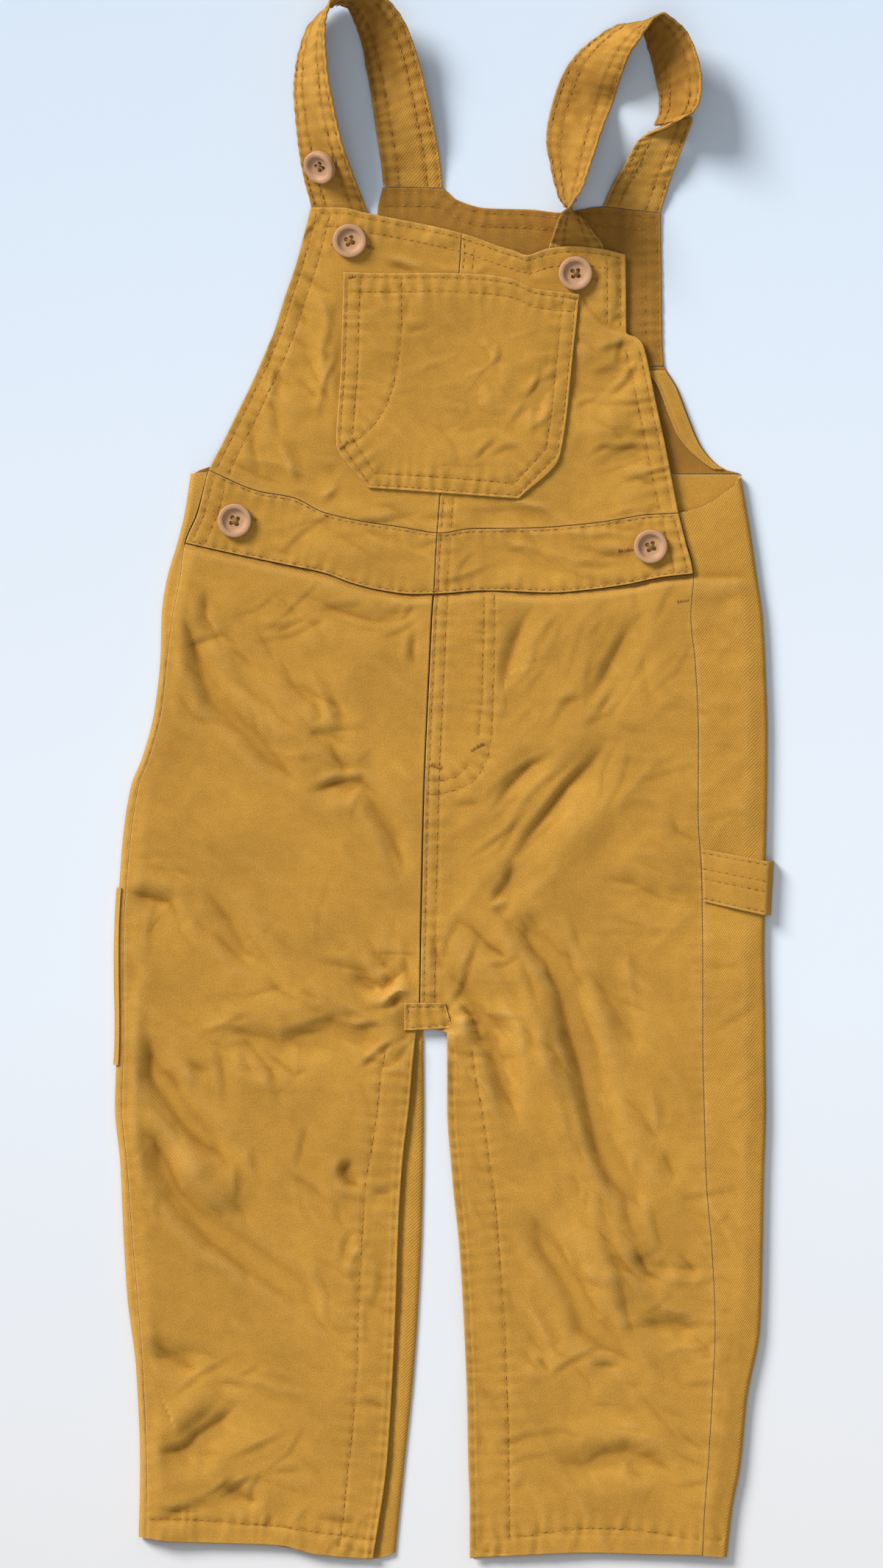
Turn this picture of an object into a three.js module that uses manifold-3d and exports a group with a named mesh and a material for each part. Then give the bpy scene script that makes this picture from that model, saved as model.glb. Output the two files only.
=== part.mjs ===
// Toddler's dungarees in cotton twill, laid flat with the front up and both straps standing in loops.
// Millimetres. X runs to the right as one looks down on the front, Y up the garment, Z off the table.
// Left and right in the names are as one looks down on the front too.
// While the pieces are shaped, X is measured from the middle and Y from the lowest hem.
// At the end the whole garment is moved so that its origin is under the middle of its bounding box.
import * as THREE from 'three';
import { mergeVertices } from 'three/addons/utils/BufferGeometryUtils.js';
import Module from 'manifold-3d';

const wasm = await Module();
wasm.setup();

// Cloth
const WALL = 1.2;
const SEAM = 0.3;
const LAYER = 0.3;
const BACK_TOP = WALL;
const FRONT_LOWEST = BACK_TOP + LAYER + WALL;

// Levels up the legs, and how many rows of cells each stretch has
const CROTCH_LEVEL = 279;
const SEAT_LEVEL = 283;
const LEG_ROWS = 18;
const SEAT_ROWS = 15;
const WAIST_ROWS = 4;

// Cells across each kind of panel
const FRONT_COLUMNS = 12;
const BIB_ROWS = 13;

// Height of the front layer above the table
const SIDE_FOLD_HEIGHT = 5.6;
const SIDE_FOLD_REACH = 24;
const LEG_REST_HEIGHT = 3.7;
const INSIDE_LEG_DROP = 0.8;
const INSIDE_LEG_REACH = 14;
const TURN_STEPS = 4;

// Small parts
const BUTTON = { radius: 9, thick: 3.2, dish: 5.6, dishDeep: 0.9, edge: 0.8, hole: 1.15, holeFromMiddle: 2.1 };
const STRAP = { width: 31.5, thick: 1.6, across: 3 };
const POCKET_LIFT = 0.6;

const COLOUR = { cloth: 0xc4923e, inside: 0x97742f, button: 0xb98d63 };

// A smooth line through a few chosen points that never swings past them
function smooth(points) {
  const xs = points.map((p) => p[0]);
  const ys = points.map((p) => p[1]);
  const slope = xs.slice(1).map((x, i) => (ys[i + 1] - ys[i]) / (x - xs[i]));
  const tangent = xs.map((_, i) => {
    if (i === 0) return slope[0];
    if (i === xs.length - 1) return slope[slope.length - 1];
    const [a, b] = [slope[i - 1], slope[i]];
    return a * b <= 0 ? 0 : (2 * a * b) / (a + b);
  });
  return (x) => {
    if (x <= xs[0]) return ys[0];
    if (x >= xs[xs.length - 1]) return ys[ys.length - 1];
    let i = 0;
    while (x > xs[i + 1]) i++;
    const h = xs[i + 1] - xs[i];
    const t = (x - xs[i]) / h;
    const [t2, t3] = [t * t, t * t * t];
    return (2 * t3 - 3 * t2 + 1) * ys[i] + (t3 - 2 * t2 + t) * h * tangent[i]
      + (3 * t2 - 2 * t3) * ys[i + 1] + (t3 - t2) * h * tangent[i + 1];
  };
}

// A table with named columns becomes one smooth line for each column, read by the first column
function table(names, rows) {
  const lines = {};
  names.slice(1).forEach((name, i) => { lines[name] = smooth(rows.map((row) => [row[0], row[i + 1]])); });
  return lines;
}

const mix = (a, b, t) => a + (b - a) * t;
const clamp = (v, low, high) => Math.min(high, Math.max(low, v));
const step = (low, high, v) => {
  const t = clamp((v - low) / (high - low), 0, 1);
  return t * t * (3 - 2 * t);
};

// Legs: a row for each section. edge is the side fold, seam the side seam on top,
// front the inner edge of the front panel, back the inner edge of the back panel.
const LEFT_LEG = table(['y', 'edge', 'seam', 'front', 'back'], [
  [0, -161.5, -156.5, -37, -25.5],
  [50, -160.5, -157, -29.6, -20.5],
  [100, -162.5, -159, -26.3, -15.5],
  [140, -167.3, -162, -24.6, -12.8],
  [175, -169.4, -165, -23.5, -11.3],
  [210, -171, -167.5, -21.3, -10.5],
  [240, -173.8, -170.2, -17.8, -10.2],
  [279, -172.6, -169.1, -14, -10.5],
  [283, -172.6, -169.1, -12.6, -10.2],
  [330, -172.9, -169.3, -12, -10.2],
  [360, -171.3, -167.6, -11.4, -10.2],
  [385, -169.3, -165.2, -10.8, -10.2],
  [410, -165.2, -161.3, -10.2, -10.2],
  [425, -159.3, -155.7, -9.6, -10.2],
  [450, -152.8, -149.2, -8.5, -10.2],
  [480, -149.6, -145.9, -7.1, -10.2],
  [500, -149.1, -143.3, -6.1, -10.2],
  [518, -146.6, -139.6, -4.9, -10.2],
  [539, -140.6, -136.8, -4.2, -10.2],
  [554, -136.9, -130.7, -3.2, -10.2],
  [577, -133.4, -124.6, -2, -10.2],
]);
const RIGHT_LEG = table(['y', 'edge', 'seam', 'front', 'back'], [
  [0, 150.2, 137.3, 14, 15.5],
  [27, 153.3, 138.8, 14, 15.5],
  [50, 157.6, 140.6, 13.2, 14.7],
  [85, 161.1, 142.7, 12.5, 14],
  [124, 168.1, 144.3, 10.9, 12.4],
  [163, 169.3, 142.7, 8.6, 10.1],
  [202, 170, 139.6, 4.7, 6.2],
  [241, 171.2, 138.5, 2, 3.5],
  [279, 170.8, 137.7, 2, 3.5],
  [283, 170.8, 137.7, -12.2, -9.8],
  [319, 170.2, 137.7, -11.8, -9.8],
  [358, 170.8, 137.3, -11, -9.8],
  [397, 171.6, 135.3, -10.2, -9.8],
  [436, 172, 135.5, -8.8, -9.8],
  [475, 170.8, 133.8, -6.9, -9.8],
  [500, 169.3, 131.4, -5.7, -9.8],
  [522, 166.1, 132.9, -4.1, -9.8],
  [540, 163.6, 128.9, -3.8, -9.8],
  [554, 161.3, 125.2, -3, -9.8],
  [577, 157.2, 121.5, -2, -9.8],
]);

// Hems dip towards the inside leg
const HEM = { left: smooth([[-161, 12], [-145, 9.4], [-118, 8.6], [-87, 7.4], [-67, 2.6], [-37, 0.4], [-25, 3.6]]),
  right: smooth([[14, 0.8], [38, 2], [77, 3.5], [108, 2.7], [132, 2.3], [150, 1.2]]) };

// Seams across the waist, and the centre seam of the bib
const WAIST_SEAM = smooth([
  [-137, 538.6], [-118, 534.3], [-98, 530], [-79, 526.1], [-63, 522.6], [-48, 517.1], [-32, 513.2],
  [-16, 511.3], [0, 511.7], [22, 513.2], [58, 512.1], [77, 513.6], [97, 516.4], [116, 520.3], [133, 522.2],
]);
const BIB_SEAM = smooth([
  [-124, 577], [-98, 566], [-79, 562.4], [-63, 554.6], [-40, 549.5], [-24, 547.2], [-1, 543.8],
  [15, 546], [46, 546.4], [77, 548.7], [93, 551], [108, 553.4], [124, 554.2],
]);
const BIB_TOP = smooth([
  [-70, 716.4], [-55, 716.4], [-40, 713.3], [-24, 710.2], [-1, 705.5], [15, 701.2], [30, 695.8],
  [38, 693.4], [44.5, 691.1], [56, 694.6], [69, 695.8], [85, 694.2], [96, 691.5],
]);

// Front bib and waistband: a row for each section from the waist up
const BIB = table(['y', 'left', 'centre', 'right'], [
  [512, -139, -4.7, 132.4],
  [522, -139, -4.3, 132.4],
  [539, -136.2, -3.4, 128.6],
  [554, -130, -2.3, 124.9],
  [577, -124, -0.4, 120.4],
  [592, -116.6, 1, 117.5],
  [608, -108.8, 2.4, 113.9],
  [624, -101, 3.5, 110.6],
  [639, -94.4, 4.7, 107.4],
  [644, -92.4, 5.1, 105.7],
  [647.5, -90.8, 5.4, 102.6],
  [649.5, -90, 5.6, 97.2],
  [670, -83.5, 7.6, 97],
  [686, -78, 8.9, 96.8],
  [702, -73.7, 9.8, 96.3],
  [716, -70.2, 10, 96.3],
]);

// Where the bib is tucked beneath itself at the upper right, as a line from the pocket to the armhole edge
const TUCK = smooth([[72, 671.5], [75, 664.6], [81, 657], [86, 652.9], [97, 649], [106, 646]]);
const TUCK_DEEP = 2.2;
const TUCK_RUN = 4;

// Patch pocket, from its lower edge up
const POCKET = table(['part', 'left', 'leftY', 'right', 'rightY'], [
  [0, -39.8, 567.8, 40.2, 562],
  [0.22, -56.6, 591.5, 62, 584.6],
  [0.6, -54.2, 631, 68.6, 635],
  [1, -52.7, 682, 72.2, 670.4],
]);
const POCKET_BOW = smooth([[0, 0], [0.17, 1.4], [0.48, 5], [0.6, 5.6], [0.7, 5.1], [0.76, 3], [0.82, 0.6], [1, 0]]);

// Back bib, and the back between it and the waist
const BACK_BIB_TOP = smooth([[-32, 727], [-16, 727.7], [0, 726.2], [7, 720.6], [23, 716], [46, 715.3],
  [62, 713.7], [84, 716.8], [101, 716], [115, 713.3]]);
const BACK_BIB = table(['y', 'left', 'right'], [[632, -36, 117], [647, -36, 116.2], [680, -35.5, 115.8],
  [714, -34.7, 115.4], [727, -32, 115.4]]);
const YOKE = table(['y', 'left', 'right'], [
  [575.4, -132, 157.6], [577.6, -128, 149.4], [584, -106, 141.4], [592, -86, 135.7], [606, -60, 129.9],
  [621, -42, 124], [630, -37, 118.4], [632, -36, 117.2],
]);
const YOKE_LEVELS = [575.4, 577.6, 580.5, 584, 588, 592, 598, 606, 613, 621, 630, 632];
const ARMHOLE_BAND = 9.5;

// Largest folds: points along each, its half width and its height, below zero for a trough
const LEG_FOLDS = [
  { along: [[-137, 499], [-118, 450], [-79, 413], [-74, 406]], wide: 11, high: -2.4 },
  { along: [[-106, 475], [-84, 448], [-59, 425]], wide: 15, high: 2.4 },
  { along: [[-74, 405], [-44, 412], [-28, 386], [-20, 358]], wide: 8, high: -1.8 },
  { along: [[-172, 355], [-139, 339]], wide: 9, high: -1.4 },
  { along: [[-130, 358], [-106, 323], [-87, 312]], wide: 12, high: -1.5 },
  { along: [[-118, 284], [-87, 273], [-59, 280], [-28, 273]], wide: 13, high: -1.9 },
  { along: [[-52, 312], [-32, 304], [-18, 312]], wide: 9, high: -1.5 },
  { along: [[-40, 290], [-27, 300], [-14, 298]], wide: 8, high: 2 },
  { along: [[-159, 280], [-153, 257], [-137, 234], [-110, 202]], wide: 12, high: -2.6 },
  { along: [[-165, 230], [-141, 195], [-102, 160], [-63, 128]], wide: 12, high: -2.6 },
  { along: [[-146, 220], [-125, 200], [-106, 183]], wide: 13, high: 3 },
  { along: [[-48, 214], [-51, 204], [-42, 197]], wide: 7, high: -1.3 },
  { along: [[-159, 119], [-126, 97]], wide: 10, high: -1.6 },
  { along: [[-157, 56], [-137, 58], [-106, 85]], wide: 12, high: -2 },
  { along: [[-118, 39], [-94, 29]], wide: 9, high: -1.3 },
  { along: [[105, 507], [97, 491], [85, 468], [73, 450]], wide: 12, high: -1.8 },
  { along: [[89, 436], [77, 421], [54, 394], [30, 364]], wide: 11, high: -2.4 },
  { along: [[62, 372], [95, 415]], wide: 14, high: 2.2 },
  { along: [[38, 372], [34, 358], [23, 345]], wide: 8, high: -1.8 },
  { along: [[36, 349], [58, 316], [73, 269], [85, 218], [108, 179]], wide: 12, high: -2.6 },
  { along: [[73, 316], [93, 292], [105, 265]], wide: 10, high: -1.4 },
  { along: [[-1, 312], [19, 292], [30, 261], [42, 226]], wide: 10, high: -2 },
  { along: [[43, 304], [53, 270], [60, 240]], wide: 13, high: 3 },
  { along: [[46, 507], [35, 480], [33, 468], [46, 462]], wide: 8, high: -1.4 },
  { along: [[62, 429], [46, 421], [25, 394]], wide: 9, high: -1.5 },
  { along: [[77, 362], [101, 358], [138, 347]], wide: 9, high: -1.4 },
  { along: [[46, 187], [66, 152], [77, 124], [106, 101]], wide: 11, high: -2.4 },
  { along: [[64, 192], [84, 156], [100, 128]], wide: 13, high: 2.3 },
  { along: [[101, 167], [120, 146]], wide: 9, high: -1.3 },
  { along: [[101, 128], [140, 122]], wide: 9, high: -1.3 },
  { along: [[54, 52], [97, 56], [128, 43]], wide: 10, high: -1.5 },
];
const BIB_FOLDS = [
  { along: [[-79, 627], [-63, 612]], wide: 9, high: -0.9 },
  { along: [[69, 624], [97, 631]], wide: 10, high: -1.3 },
  { along: [[77, 577], [108, 592]], wide: 12, high: -1.2 },
  { along: [[12, 696], [38, 682], [60, 676]], wide: 12, high: -1.5 },
  { along: [[-16, 698], [7, 686]], wide: 10, high: -1.2 },
  { along: [[38, 612], [69, 631]], wide: 12, high: -1.1 },
  { along: [[-16, 608], [15, 604], [38, 608]], wide: 12, high: -1 },
  { along: [[-67, 553], [-16, 538]], wide: 9, high: -0.9 },
  { along: [[15, 538], [54, 526]], wide: 9, high: -0.9 },
  { along: [[-62, 668], [-52, 700]], wide: 16, high: 1 },
  { along: [[66, 690], [84, 665]], wide: 18, high: 1.6 },
];

function distanceAlong(x, y, points) {
  let nearest = Infinity;
  for (let i = 0; i + 1 < points.length; i++) {
    const [[ax, ay], [bx, by]] = [points[i], points[i + 1]];
    const t = clamp(((x - ax) * (bx - ax) + (y - ay) * (by - ay)) / ((bx - ax) ** 2 + (by - ay) ** 2), 0, 1);
    nearest = Math.min(nearest, Math.hypot(x - mix(ax, bx, t), y - mix(ay, by, t)));
  }
  return nearest;
}

function foldsAt(x, y, folds) {
  let height = 0;
  for (const fold of folds) height += fold.high * Math.exp(-((distanceAlong(x, y, fold.along) / fold.wide) ** 2));
  return height;
}

// Keeps the front layer just above the back one where a trough would press through it
function restOn(lowest, z) {
  const soft = 0.5;
  const above = (z - lowest) / soft;
  return lowest + soft * (above > 20 ? above : Math.log(1 + Math.exp(above)));
}

// Outer face of the legs and seat above the table
function legHeight(x, y) {
  const leg = x < LEFT_LEG.front(y) + 0.1 ? LEFT_LEG : RIGHT_LEG;
  const fromEdge = Math.abs(x - leg.edge(y));
  const fromInside = Math.abs(x - leg.front(y));
  const sideFold = (SIDE_FOLD_HEIGHT - LEG_REST_HEIGHT) * Math.exp(-((fromEdge / SIDE_FOLD_REACH) ** 2));
  const legPart = 1 - step(CROTCH_LEVEL - 8, CROTCH_LEVEL + 12, y);
  const drop = INSIDE_LEG_DROP * legPart * Math.exp(-((fromInside / INSIDE_LEG_REACH) ** 2));
  const folds = foldsAt(x, y, LEG_FOLDS) * step(2, 16, fromEdge);
  return restOn(FRONT_LOWEST, LEG_REST_HEIGHT + sideFold - drop + folds);
}

// Outer face of the front bib and waistband above the table
const BIB_LEFT_EDGE = smooth([[539, 5.4], [577, 4.6], [600, 2.4], [640, 2], [716, 3.4]]);
const BIB_MIDDLE = smooth([[512, 3.9], [577, 4], [640, 4.4], [690, 4.6], [716, 4.8]]);
const BIB_RIGHT_EDGE = smooth([[522, 5.9], [554, 5.8], [577, 5.2], [640, 5], [700, 5.6]]);
function bibHeight(x, y) {
  const part = clamp((x - BIB.left(y)) / (BIB.right(y) - BIB.left(y)), 0, 1);
  const leftEdge = 1 - step(0, 0.16, part);
  const rightEdge = step(0.8, 1, part);
  let height = BIB_MIDDLE(y) * (1 - leftEdge - rightEdge)
    + BIB_LEFT_EDGE(y) * leftEdge + BIB_RIGHT_EDGE(y) * rightEdge;
  height += foldsAt(x, y, BIB_FOLDS) * step(0, 0.1, part) * (1 - step(0.93, 1, part));
  if (x > 66) height -= TUCK_DEEP * step(66, 74, x) * step(-TUCK_RUN / 2, TUCK_RUN / 2, y - TUCK(x)) * 0.6;
  const lowest = mix(WALL + LAYER, FRONT_LOWEST + LAYER, step(0.02, 0.2, part));
  return restOn(Math.max(lowest, underBib(x, y) + LAYER + WALL), height);
}

// Top of what lies beneath the front bib: a strap end at each upper corner
function underBib(x, y) {
  const left = step(-76, -68, x) * (1 - step(-38, -30, x)) * step(676, 684, y);
  const right = step(40, 52, x) * (1 - step(88, 98, x)) * step(672, 680, y);
  return Math.max(0, left * STRAP.thick, right * (BACK_TOP + LAYER + STRAP.thick));
}

// A closed wall from two grids of points, one for each face. Points are numbered across, then along.
function wall(columns, rows, faceA, faceB) {
  const points = [];
  const faces = [];
  const stride = columns + 1;
  const grid = stride * (rows + 1);
  for (const face of [faceA, faceB]) {
    for (let j = 0; j <= rows; j++) for (let i = 0; i <= columns; i++) points.push(...face(i, j));
  }
  const quad = (a, b, c, d) => faces.push(a, b, c, a, c, d);
  for (let j = 0; j < rows; j++) {
    for (let i = 0; i < columns; i++) {
      const a = j * stride + i;
      quad(a, a + 1, a + 1 + stride, a + stride);
      quad(grid + a, grid + a + stride, grid + a + 1 + stride, grid + a + 1);
    }
  }
  for (let i = 0; i < columns; i++) {
    const top = rows * stride + i;
    quad(i + 1, i, grid + i, grid + i + 1);
    quad(top, top + 1, grid + top + 1, grid + top);
  }
  for (let j = 0; j < rows; j++) {
    const left = j * stride;
    const right = left + columns;
    quad(left, left + stride, grid + left + stride, grid + left);
    quad(right + stride, right, grid + right, grid + right + stride);
  }
  return facingOut(points, faces);
}

function facingOut(points, faces) {
  let volume = 0;
  const at = (i) => new THREE.Vector3().fromArray(points, 3 * i);
  for (let f = 0; f < faces.length; f += 3) {
    volume += at(faces[f]).dot(at(faces[f + 1]).cross(at(faces[f + 2])));
  }
  if (volume < 0) faces.reverse();
  const geometry = new THREE.BufferGeometry();
  geometry.setAttribute('position', new THREE.Float32BufferAttribute(points, 3));
  geometry.setIndex(faces);
  return geometry;
}

// A panel that lies over others: its outer face at a height, its inner face a wall below
function panel(columns, rows, place, heightAt) {
  const outer = (i, j) => {
    const [x, y] = place(i / columns, j);
    return [x, y, heightAt(x, y)];
  };
  const inner = (i, j) => {
    const [x, y, z] = outer(i, j);
    return [x, y, z - WALL];
  };
  return wall(columns, rows, outer, inner);
}

// Height up a leg of row j: even steps to the crotch, one short step, even steps to the waist
function levelAt(j, bottom, top) {
  if (j <= LEG_ROWS) return mix(bottom, CROTCH_LEVEL, j / LEG_ROWS);
  if (j <= LEG_ROWS + 1) return SEAT_LEVEL;
  return mix(SEAT_LEVEL, top, (j - LEG_ROWS - 1) / SEAT_ROWS);
}
const FRONT_ROWS = LEG_ROWS + 1 + SEAT_ROWS;

function frontLeg(leg, hem, outward) {
  const place = (u, j) => {
    let y = mix(0, 530, j / FRONT_ROWS);
    let x = 0;
    for (let pass = 0; pass < 4; pass++) {
      const seam = leg.seam(y) - outward * SEAM / 2;
      const inside = leg.front(y) + outward * SEAM / 2;
      x = mix(seam, inside, u);
      y = levelAt(j, hem(x), WAIST_SEAM(x) - SEAM / 2);
    }
    return [x, y];
  };
  return panel(FRONT_COLUMNS, FRONT_ROWS, place, legHeight);
}

// The back panel of a leg starts at the inside leg, lies on the table, turns round the side fold
// and comes back on top as far as the side seam.
const BACK_FLAT = 8;
function backLeg(leg, hem, outward, stripColumns, top) {
  const columns = BACK_FLAT + TURN_STEPS + stripColumns;
  const rows = FRONT_ROWS + WAIST_ROWS;
  const sideLevel = outward < 0 ? WAIST_SEAM(-137) : WAIST_SEAM(133);
  const yAt = (x, j, topHere) => {
    const hemHere = hem(x);
    if (j <= FRONT_ROWS) return levelAt(j, hemHere, sideLevel - SEAM / 2);
    return mix(sideLevel, topHere, (j - FRONT_ROWS) / WAIST_ROWS);
  };
  const section = (i, j, depth) => {
    if (i <= BACK_FLAT) {
      const u = i / BACK_FLAT;
      let y = yAt(leg.edge(300), j, top.under);
      let x = 0;
      for (let pass = 0; pass < 3; pass++) {
        const edge = leg.edge(y);
        const radius = legHeight(edge - outward * SIDE_FOLD_HEIGHT / 2, y) / 2;
        x = mix(leg.back(y), edge - outward * radius, u);
        y = yAt(x, j, top.under);
      }
      return [x, y, depth];
    }
    if (i <= BACK_FLAT + TURN_STEPS) {
      const turn = Math.PI * (i - BACK_FLAT) / TURN_STEPS;
      const y = yAt(leg.edge(0), j, mix(top.under, top.edge, (i - BACK_FLAT) / TURN_STEPS));
      const edge = leg.edge(y);
      const radius = legHeight(edge - outward * SIDE_FOLD_HEIGHT / 2, y) / 2;
      const reach = radius - depth;
      const x = edge - outward * radius + outward * reach * Math.sin(turn);
      return [x, y, radius - reach * Math.cos(turn)];
    }
    const u = (i - BACK_FLAT - TURN_STEPS) / stripColumns;
    let y = yAt(leg.edge(0), j, top.edge);
    let x = 0;
    for (let pass = 0; pass < 3; pass++) {
      const edge = leg.edge(y);
      const radius = legHeight(edge - outward * SIDE_FOLD_HEIGHT / 2, y) / 2;
      x = mix(edge - outward * radius, leg.seam(y) + outward * SEAM / 2, u);
      y = yAt(x, j, top.strip(x));
    }
    return [x, y, legHeight(x, y) - depth];
  };
  return wall(columns, rows, (i, j) => section(i, j, 0), (i, j) => section(i, j, WALL));
}

const LEFT_RETURN = { under: 575, edge: 575.5, strip: () => 576 };
const RIGHT_RETURN = { under: 575, edge: 572,
  strip: smooth([[124, 554.2], [135.7, 557.3], [143.5, 561.2], [151, 566.7], [158.3, 571]]) };

// Half of the waistband or bib between two curved seams
function bibPiece(rows, lower, upper, from, to, heightAt) {
  const place = (u, j) => {
    let y = mix(lower(0), upper(0), j / rows);
    let x = 0;
    for (let pass = 0; pass < 5; pass++) {
      x = mix(from(y), to(y), u);
      y = mix(lower(x), upper(x), j / rows);
    }
    return [x, y];
  };
  return panel(FRONT_COLUMNS, rows, place, heightAt);
}
const bibCentreLeft = (y) => BIB.centre(y) - SEAM / 2;
const bibCentreRight = (y) => BIB.centre(y) + SEAM / 2;
const waistbandHeight = (x, y) => bibHeight(x, y) + 0.4;
const waistbandHalf = (from, to) => bibPiece(WAIST_ROWS, (x) => WAIST_SEAM(x) + SEAM / 2,
  (x) => BIB_SEAM(x) - SEAM / 2, from, to, waistbandHeight);
const bibHalf = (from, to) => bibPiece(BIB_ROWS, (x) => BIB_SEAM(x) + SEAM / 2, BIB_TOP, from, to, bibHeight);

function pocket() {
  const [columns, rows] = [12, 12];
  const at = (i, j) => {
    const [u, part] = [i / columns, j / rows];
    const x = mix(POCKET.left(part), POCKET.right(part), u);
    const y = mix(POCKET.leftY(part), POCKET.rightY(part), u) + POCKET_BOW(u) * step(0.55, 1, part);
    const mouth = POCKET_LIFT * Math.sin(Math.PI * u) * step(0.6, 1, part);
    return [x, y, bibHeight(x, y) + LAYER + WALL + mouth + pocketBridge(x, y)];
  };
  return wall(columns, rows, at, (i, j) => {
    const [x, y, z] = at(i, j);
    return [x, y, z - WALL];
  });
}
// The pocket spans the hollows of the bib beneath it, and is never lower than the bib
const pocketBridge = (x, y) => Math.max(0, -0.5 * foldsAt(x, y, BIB_FOLDS));

function backBib() {
  const [columns, rows] = [10, 7];
  const place = (u, j) => {
    let y = mix(632.3, 716, j / rows);
    let x = 0;
    for (let pass = 0; pass < 4; pass++) {
      x = mix(BACK_BIB.left(y), BACK_BIB.right(y), u);
      y = mix(632.3, BACK_BIB_TOP(x), j / rows);
    }
    return [x, y];
  };
  return wall(columns, rows, (i, j) => [...place(i / columns, j), WALL], (i, j) => [...place(i / columns, j), 0]);
}

function backYoke() {
  const columns = 8;
  const place = (i, j) => {
    const y = YOKE_LEVELS[j];
    return [mix(YOKE.left(y), YOKE.right(y), i / columns), y];
  };
  return wall(columns, YOKE_LEVELS.length - 1, (i, j) => [...place(i, j), WALL], (i, j) => [...place(i, j), 0]);
}

// Facing along the armhole, on the yoke
function armholeBand() {
  const levels = YOKE_LEVELS.slice(1, -1);
  const at = (i, j, z) => {
    const y = levels[j];
    const narrow = mix(0.55, 1, step(577, 600, y));
    return [YOKE.right(y) - 0.6 - ARMHOLE_BAND * narrow * (1 - i / 2), y, z];
  };
  const bottom = BACK_TOP + LAYER;
  return wall(2, levels.length - 1, (i, j) => at(i, j, bottom + 1), (i, j) => at(i, j, bottom));
}

// Straps: the low edge lies near the table, and the top edge stands as high as the strap's width asks.
// Each row gives the low edge (x, y, z) and the top edge (x, y); flat rows lie under the bib or at the back bib.
const STRAP_LEFT = [
  [-67.5, 688, 0, -38.5, 688],
  [-68.5, 704, 0, -39, 702],
  [-69.8, 716, 0.2, -40.2, 714],
  [-74, 732, 0.6, -46, 730],
  [-76, 748, 1, -53, 748],
  [-78, 764, 1.4, -57, 766],
  [-79, 780, 1.8, -60, 781],
  [-77.5, 794, 2, -61.5, 796],
  [-72.5, 809, 2.2, -62, 809],
  [-64.5, 819, 2.4, -61.5, 818],
  [-56.5, 823.5, 2.4, -56.5, 827.5],
  [-51, 822, 2.2, -46.5, 831],
  [-47.5, 815.5, 1.8, -34.5, 829.5],
  [-43.6, 804, 1.4, -23.5, 819],
  [-41, 791, 1, -15.6, 803],
  [-38, 774, 0.7, -10.6, 786],
  [-35.4, 757, 0.4, -6, 765],
  [-33, 741, 0.2, -2, 745],
  [-31.6, 728.8, 0, 0, 727.6],
];
const STRAP_RIGHT = [
  [86.3, 684, 1.5, 55.5, 683],
  [85.6, 692, 1.5, 55.4, 691],
  [84.4, 697.5, 1.5, 56.6, 697],
  [80, 703, 1.6, 58.5, 702],
  [74.5, 710.5, 1.6, 62.5, 711],
  [68, 714.5, 1.4, 67, 715.5],
  [62.8, 719, 1.2, 71.5, 722],
  [58.5, 731, 1, 75.5, 730],
  [55.8, 744, 1, 79.6, 742],
  [55, 757, 1.2, 84.6, 757],
  [58.6, 774, 1.4, 90, 771.5],
  [65, 790, 1.6, 94.4, 785],
  [73.5, 800.5, 1.8, 99, 796.5],
  [84.5, 809, 2, 104, 804],
  [96, 813.2, 2.2, 108.5, 811],
  [105, 811, 2.2, 115.5, 817.5],
  [109, 800, 2, 124, 813.5],
  [112, 789.5, 1.8, 131.5, 804],
  [114, 780, 1.6, 136.5, 788],
  [114.4, 771, 1.6, 136, 773.5],
  [113.5, 764, 1.6, 133, 766.7],
  [111.8, 759.8, 1.7, 129.5, 764.3],
  [121.2, 761, 1.8, 119.4, 759.5],
  [130.6, 762, 1.8, 104.5, 752.8],
  [127.5, 752, 1.6, 100.6, 747.6],
  [123.2, 740.6, 1.2, 95.9, 738.3],
  [120.1, 730.4, 0.6, 90.3, 729.4],
  [115.6, 715, 0, 84.6, 717.9],
];

// An edge of a strap: a round curve in plan, and heights that never dip below the rows' own
function edgeThrough(points) {
  const plan = new THREE.CatmullRomCurve3(points.map(([x, y]) => new THREE.Vector3(x, y, 0)), false, 'centripetal');
  const height = smooth(points.map(([, , z], index) => [index / (points.length - 1), z]));
  return (t) => plan.getPoint(t).setZ(height(t));
}

// A strap is a bent and twisted band. It starts flat, and takes its full lean within a few rows of each end.
function strapShape(rows, flatRows, rampRows) {
  const raise = (row, index) => {
    const plan = Math.hypot(row[3] - row[0], row[4] - row[1]);
    const lean = Math.sqrt(Math.max(0, STRAP.width ** 2 - plan ** 2));
    const fromEnd = Math.min(index - flatRows, rows.length - 1 - index);
    return row[2] + lean * clamp(fromEnd / rampRows, 0, 1);
  };
  const low = edgeThrough(rows.map((row) => row.slice(0, 3)));
  const high = edgeThrough(rows.map((row, index) => [row[3], row[4], raise(row, index)]));
  const steps = 2 * (rows.length - 1);
  const runAt = (t) => {
    const [back, ahead] = [Math.max(0, t - 1 / steps), Math.min(1, t + 1 / steps)];
    return low(ahead).add(high(ahead)).sub(low(back)).sub(high(back)).normalize();
  };
  const normalAt = (t) => runAt(t).cross(high(t).sub(low(t))).normalize();
  const middleAt = (t, across) => {
    const p = low(t).lerp(high(t), across);
    p.z += STRAP.thick / 2;
    return p;
  };
  return { steps, runAt, normalAt, middleAt };
}

function strapSolid(shape) {
  const face = (side) => (i, j) => {
    const t = j / shape.steps;
    const offset = side * STRAP.thick / 2;
    return shape.middleAt(t, i / STRAP.across).addScaledVector(shape.normalAt(t), offset).toArray();
  };
  return wall(STRAP.across, shape.steps, face(1), face(-1));
}

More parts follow.
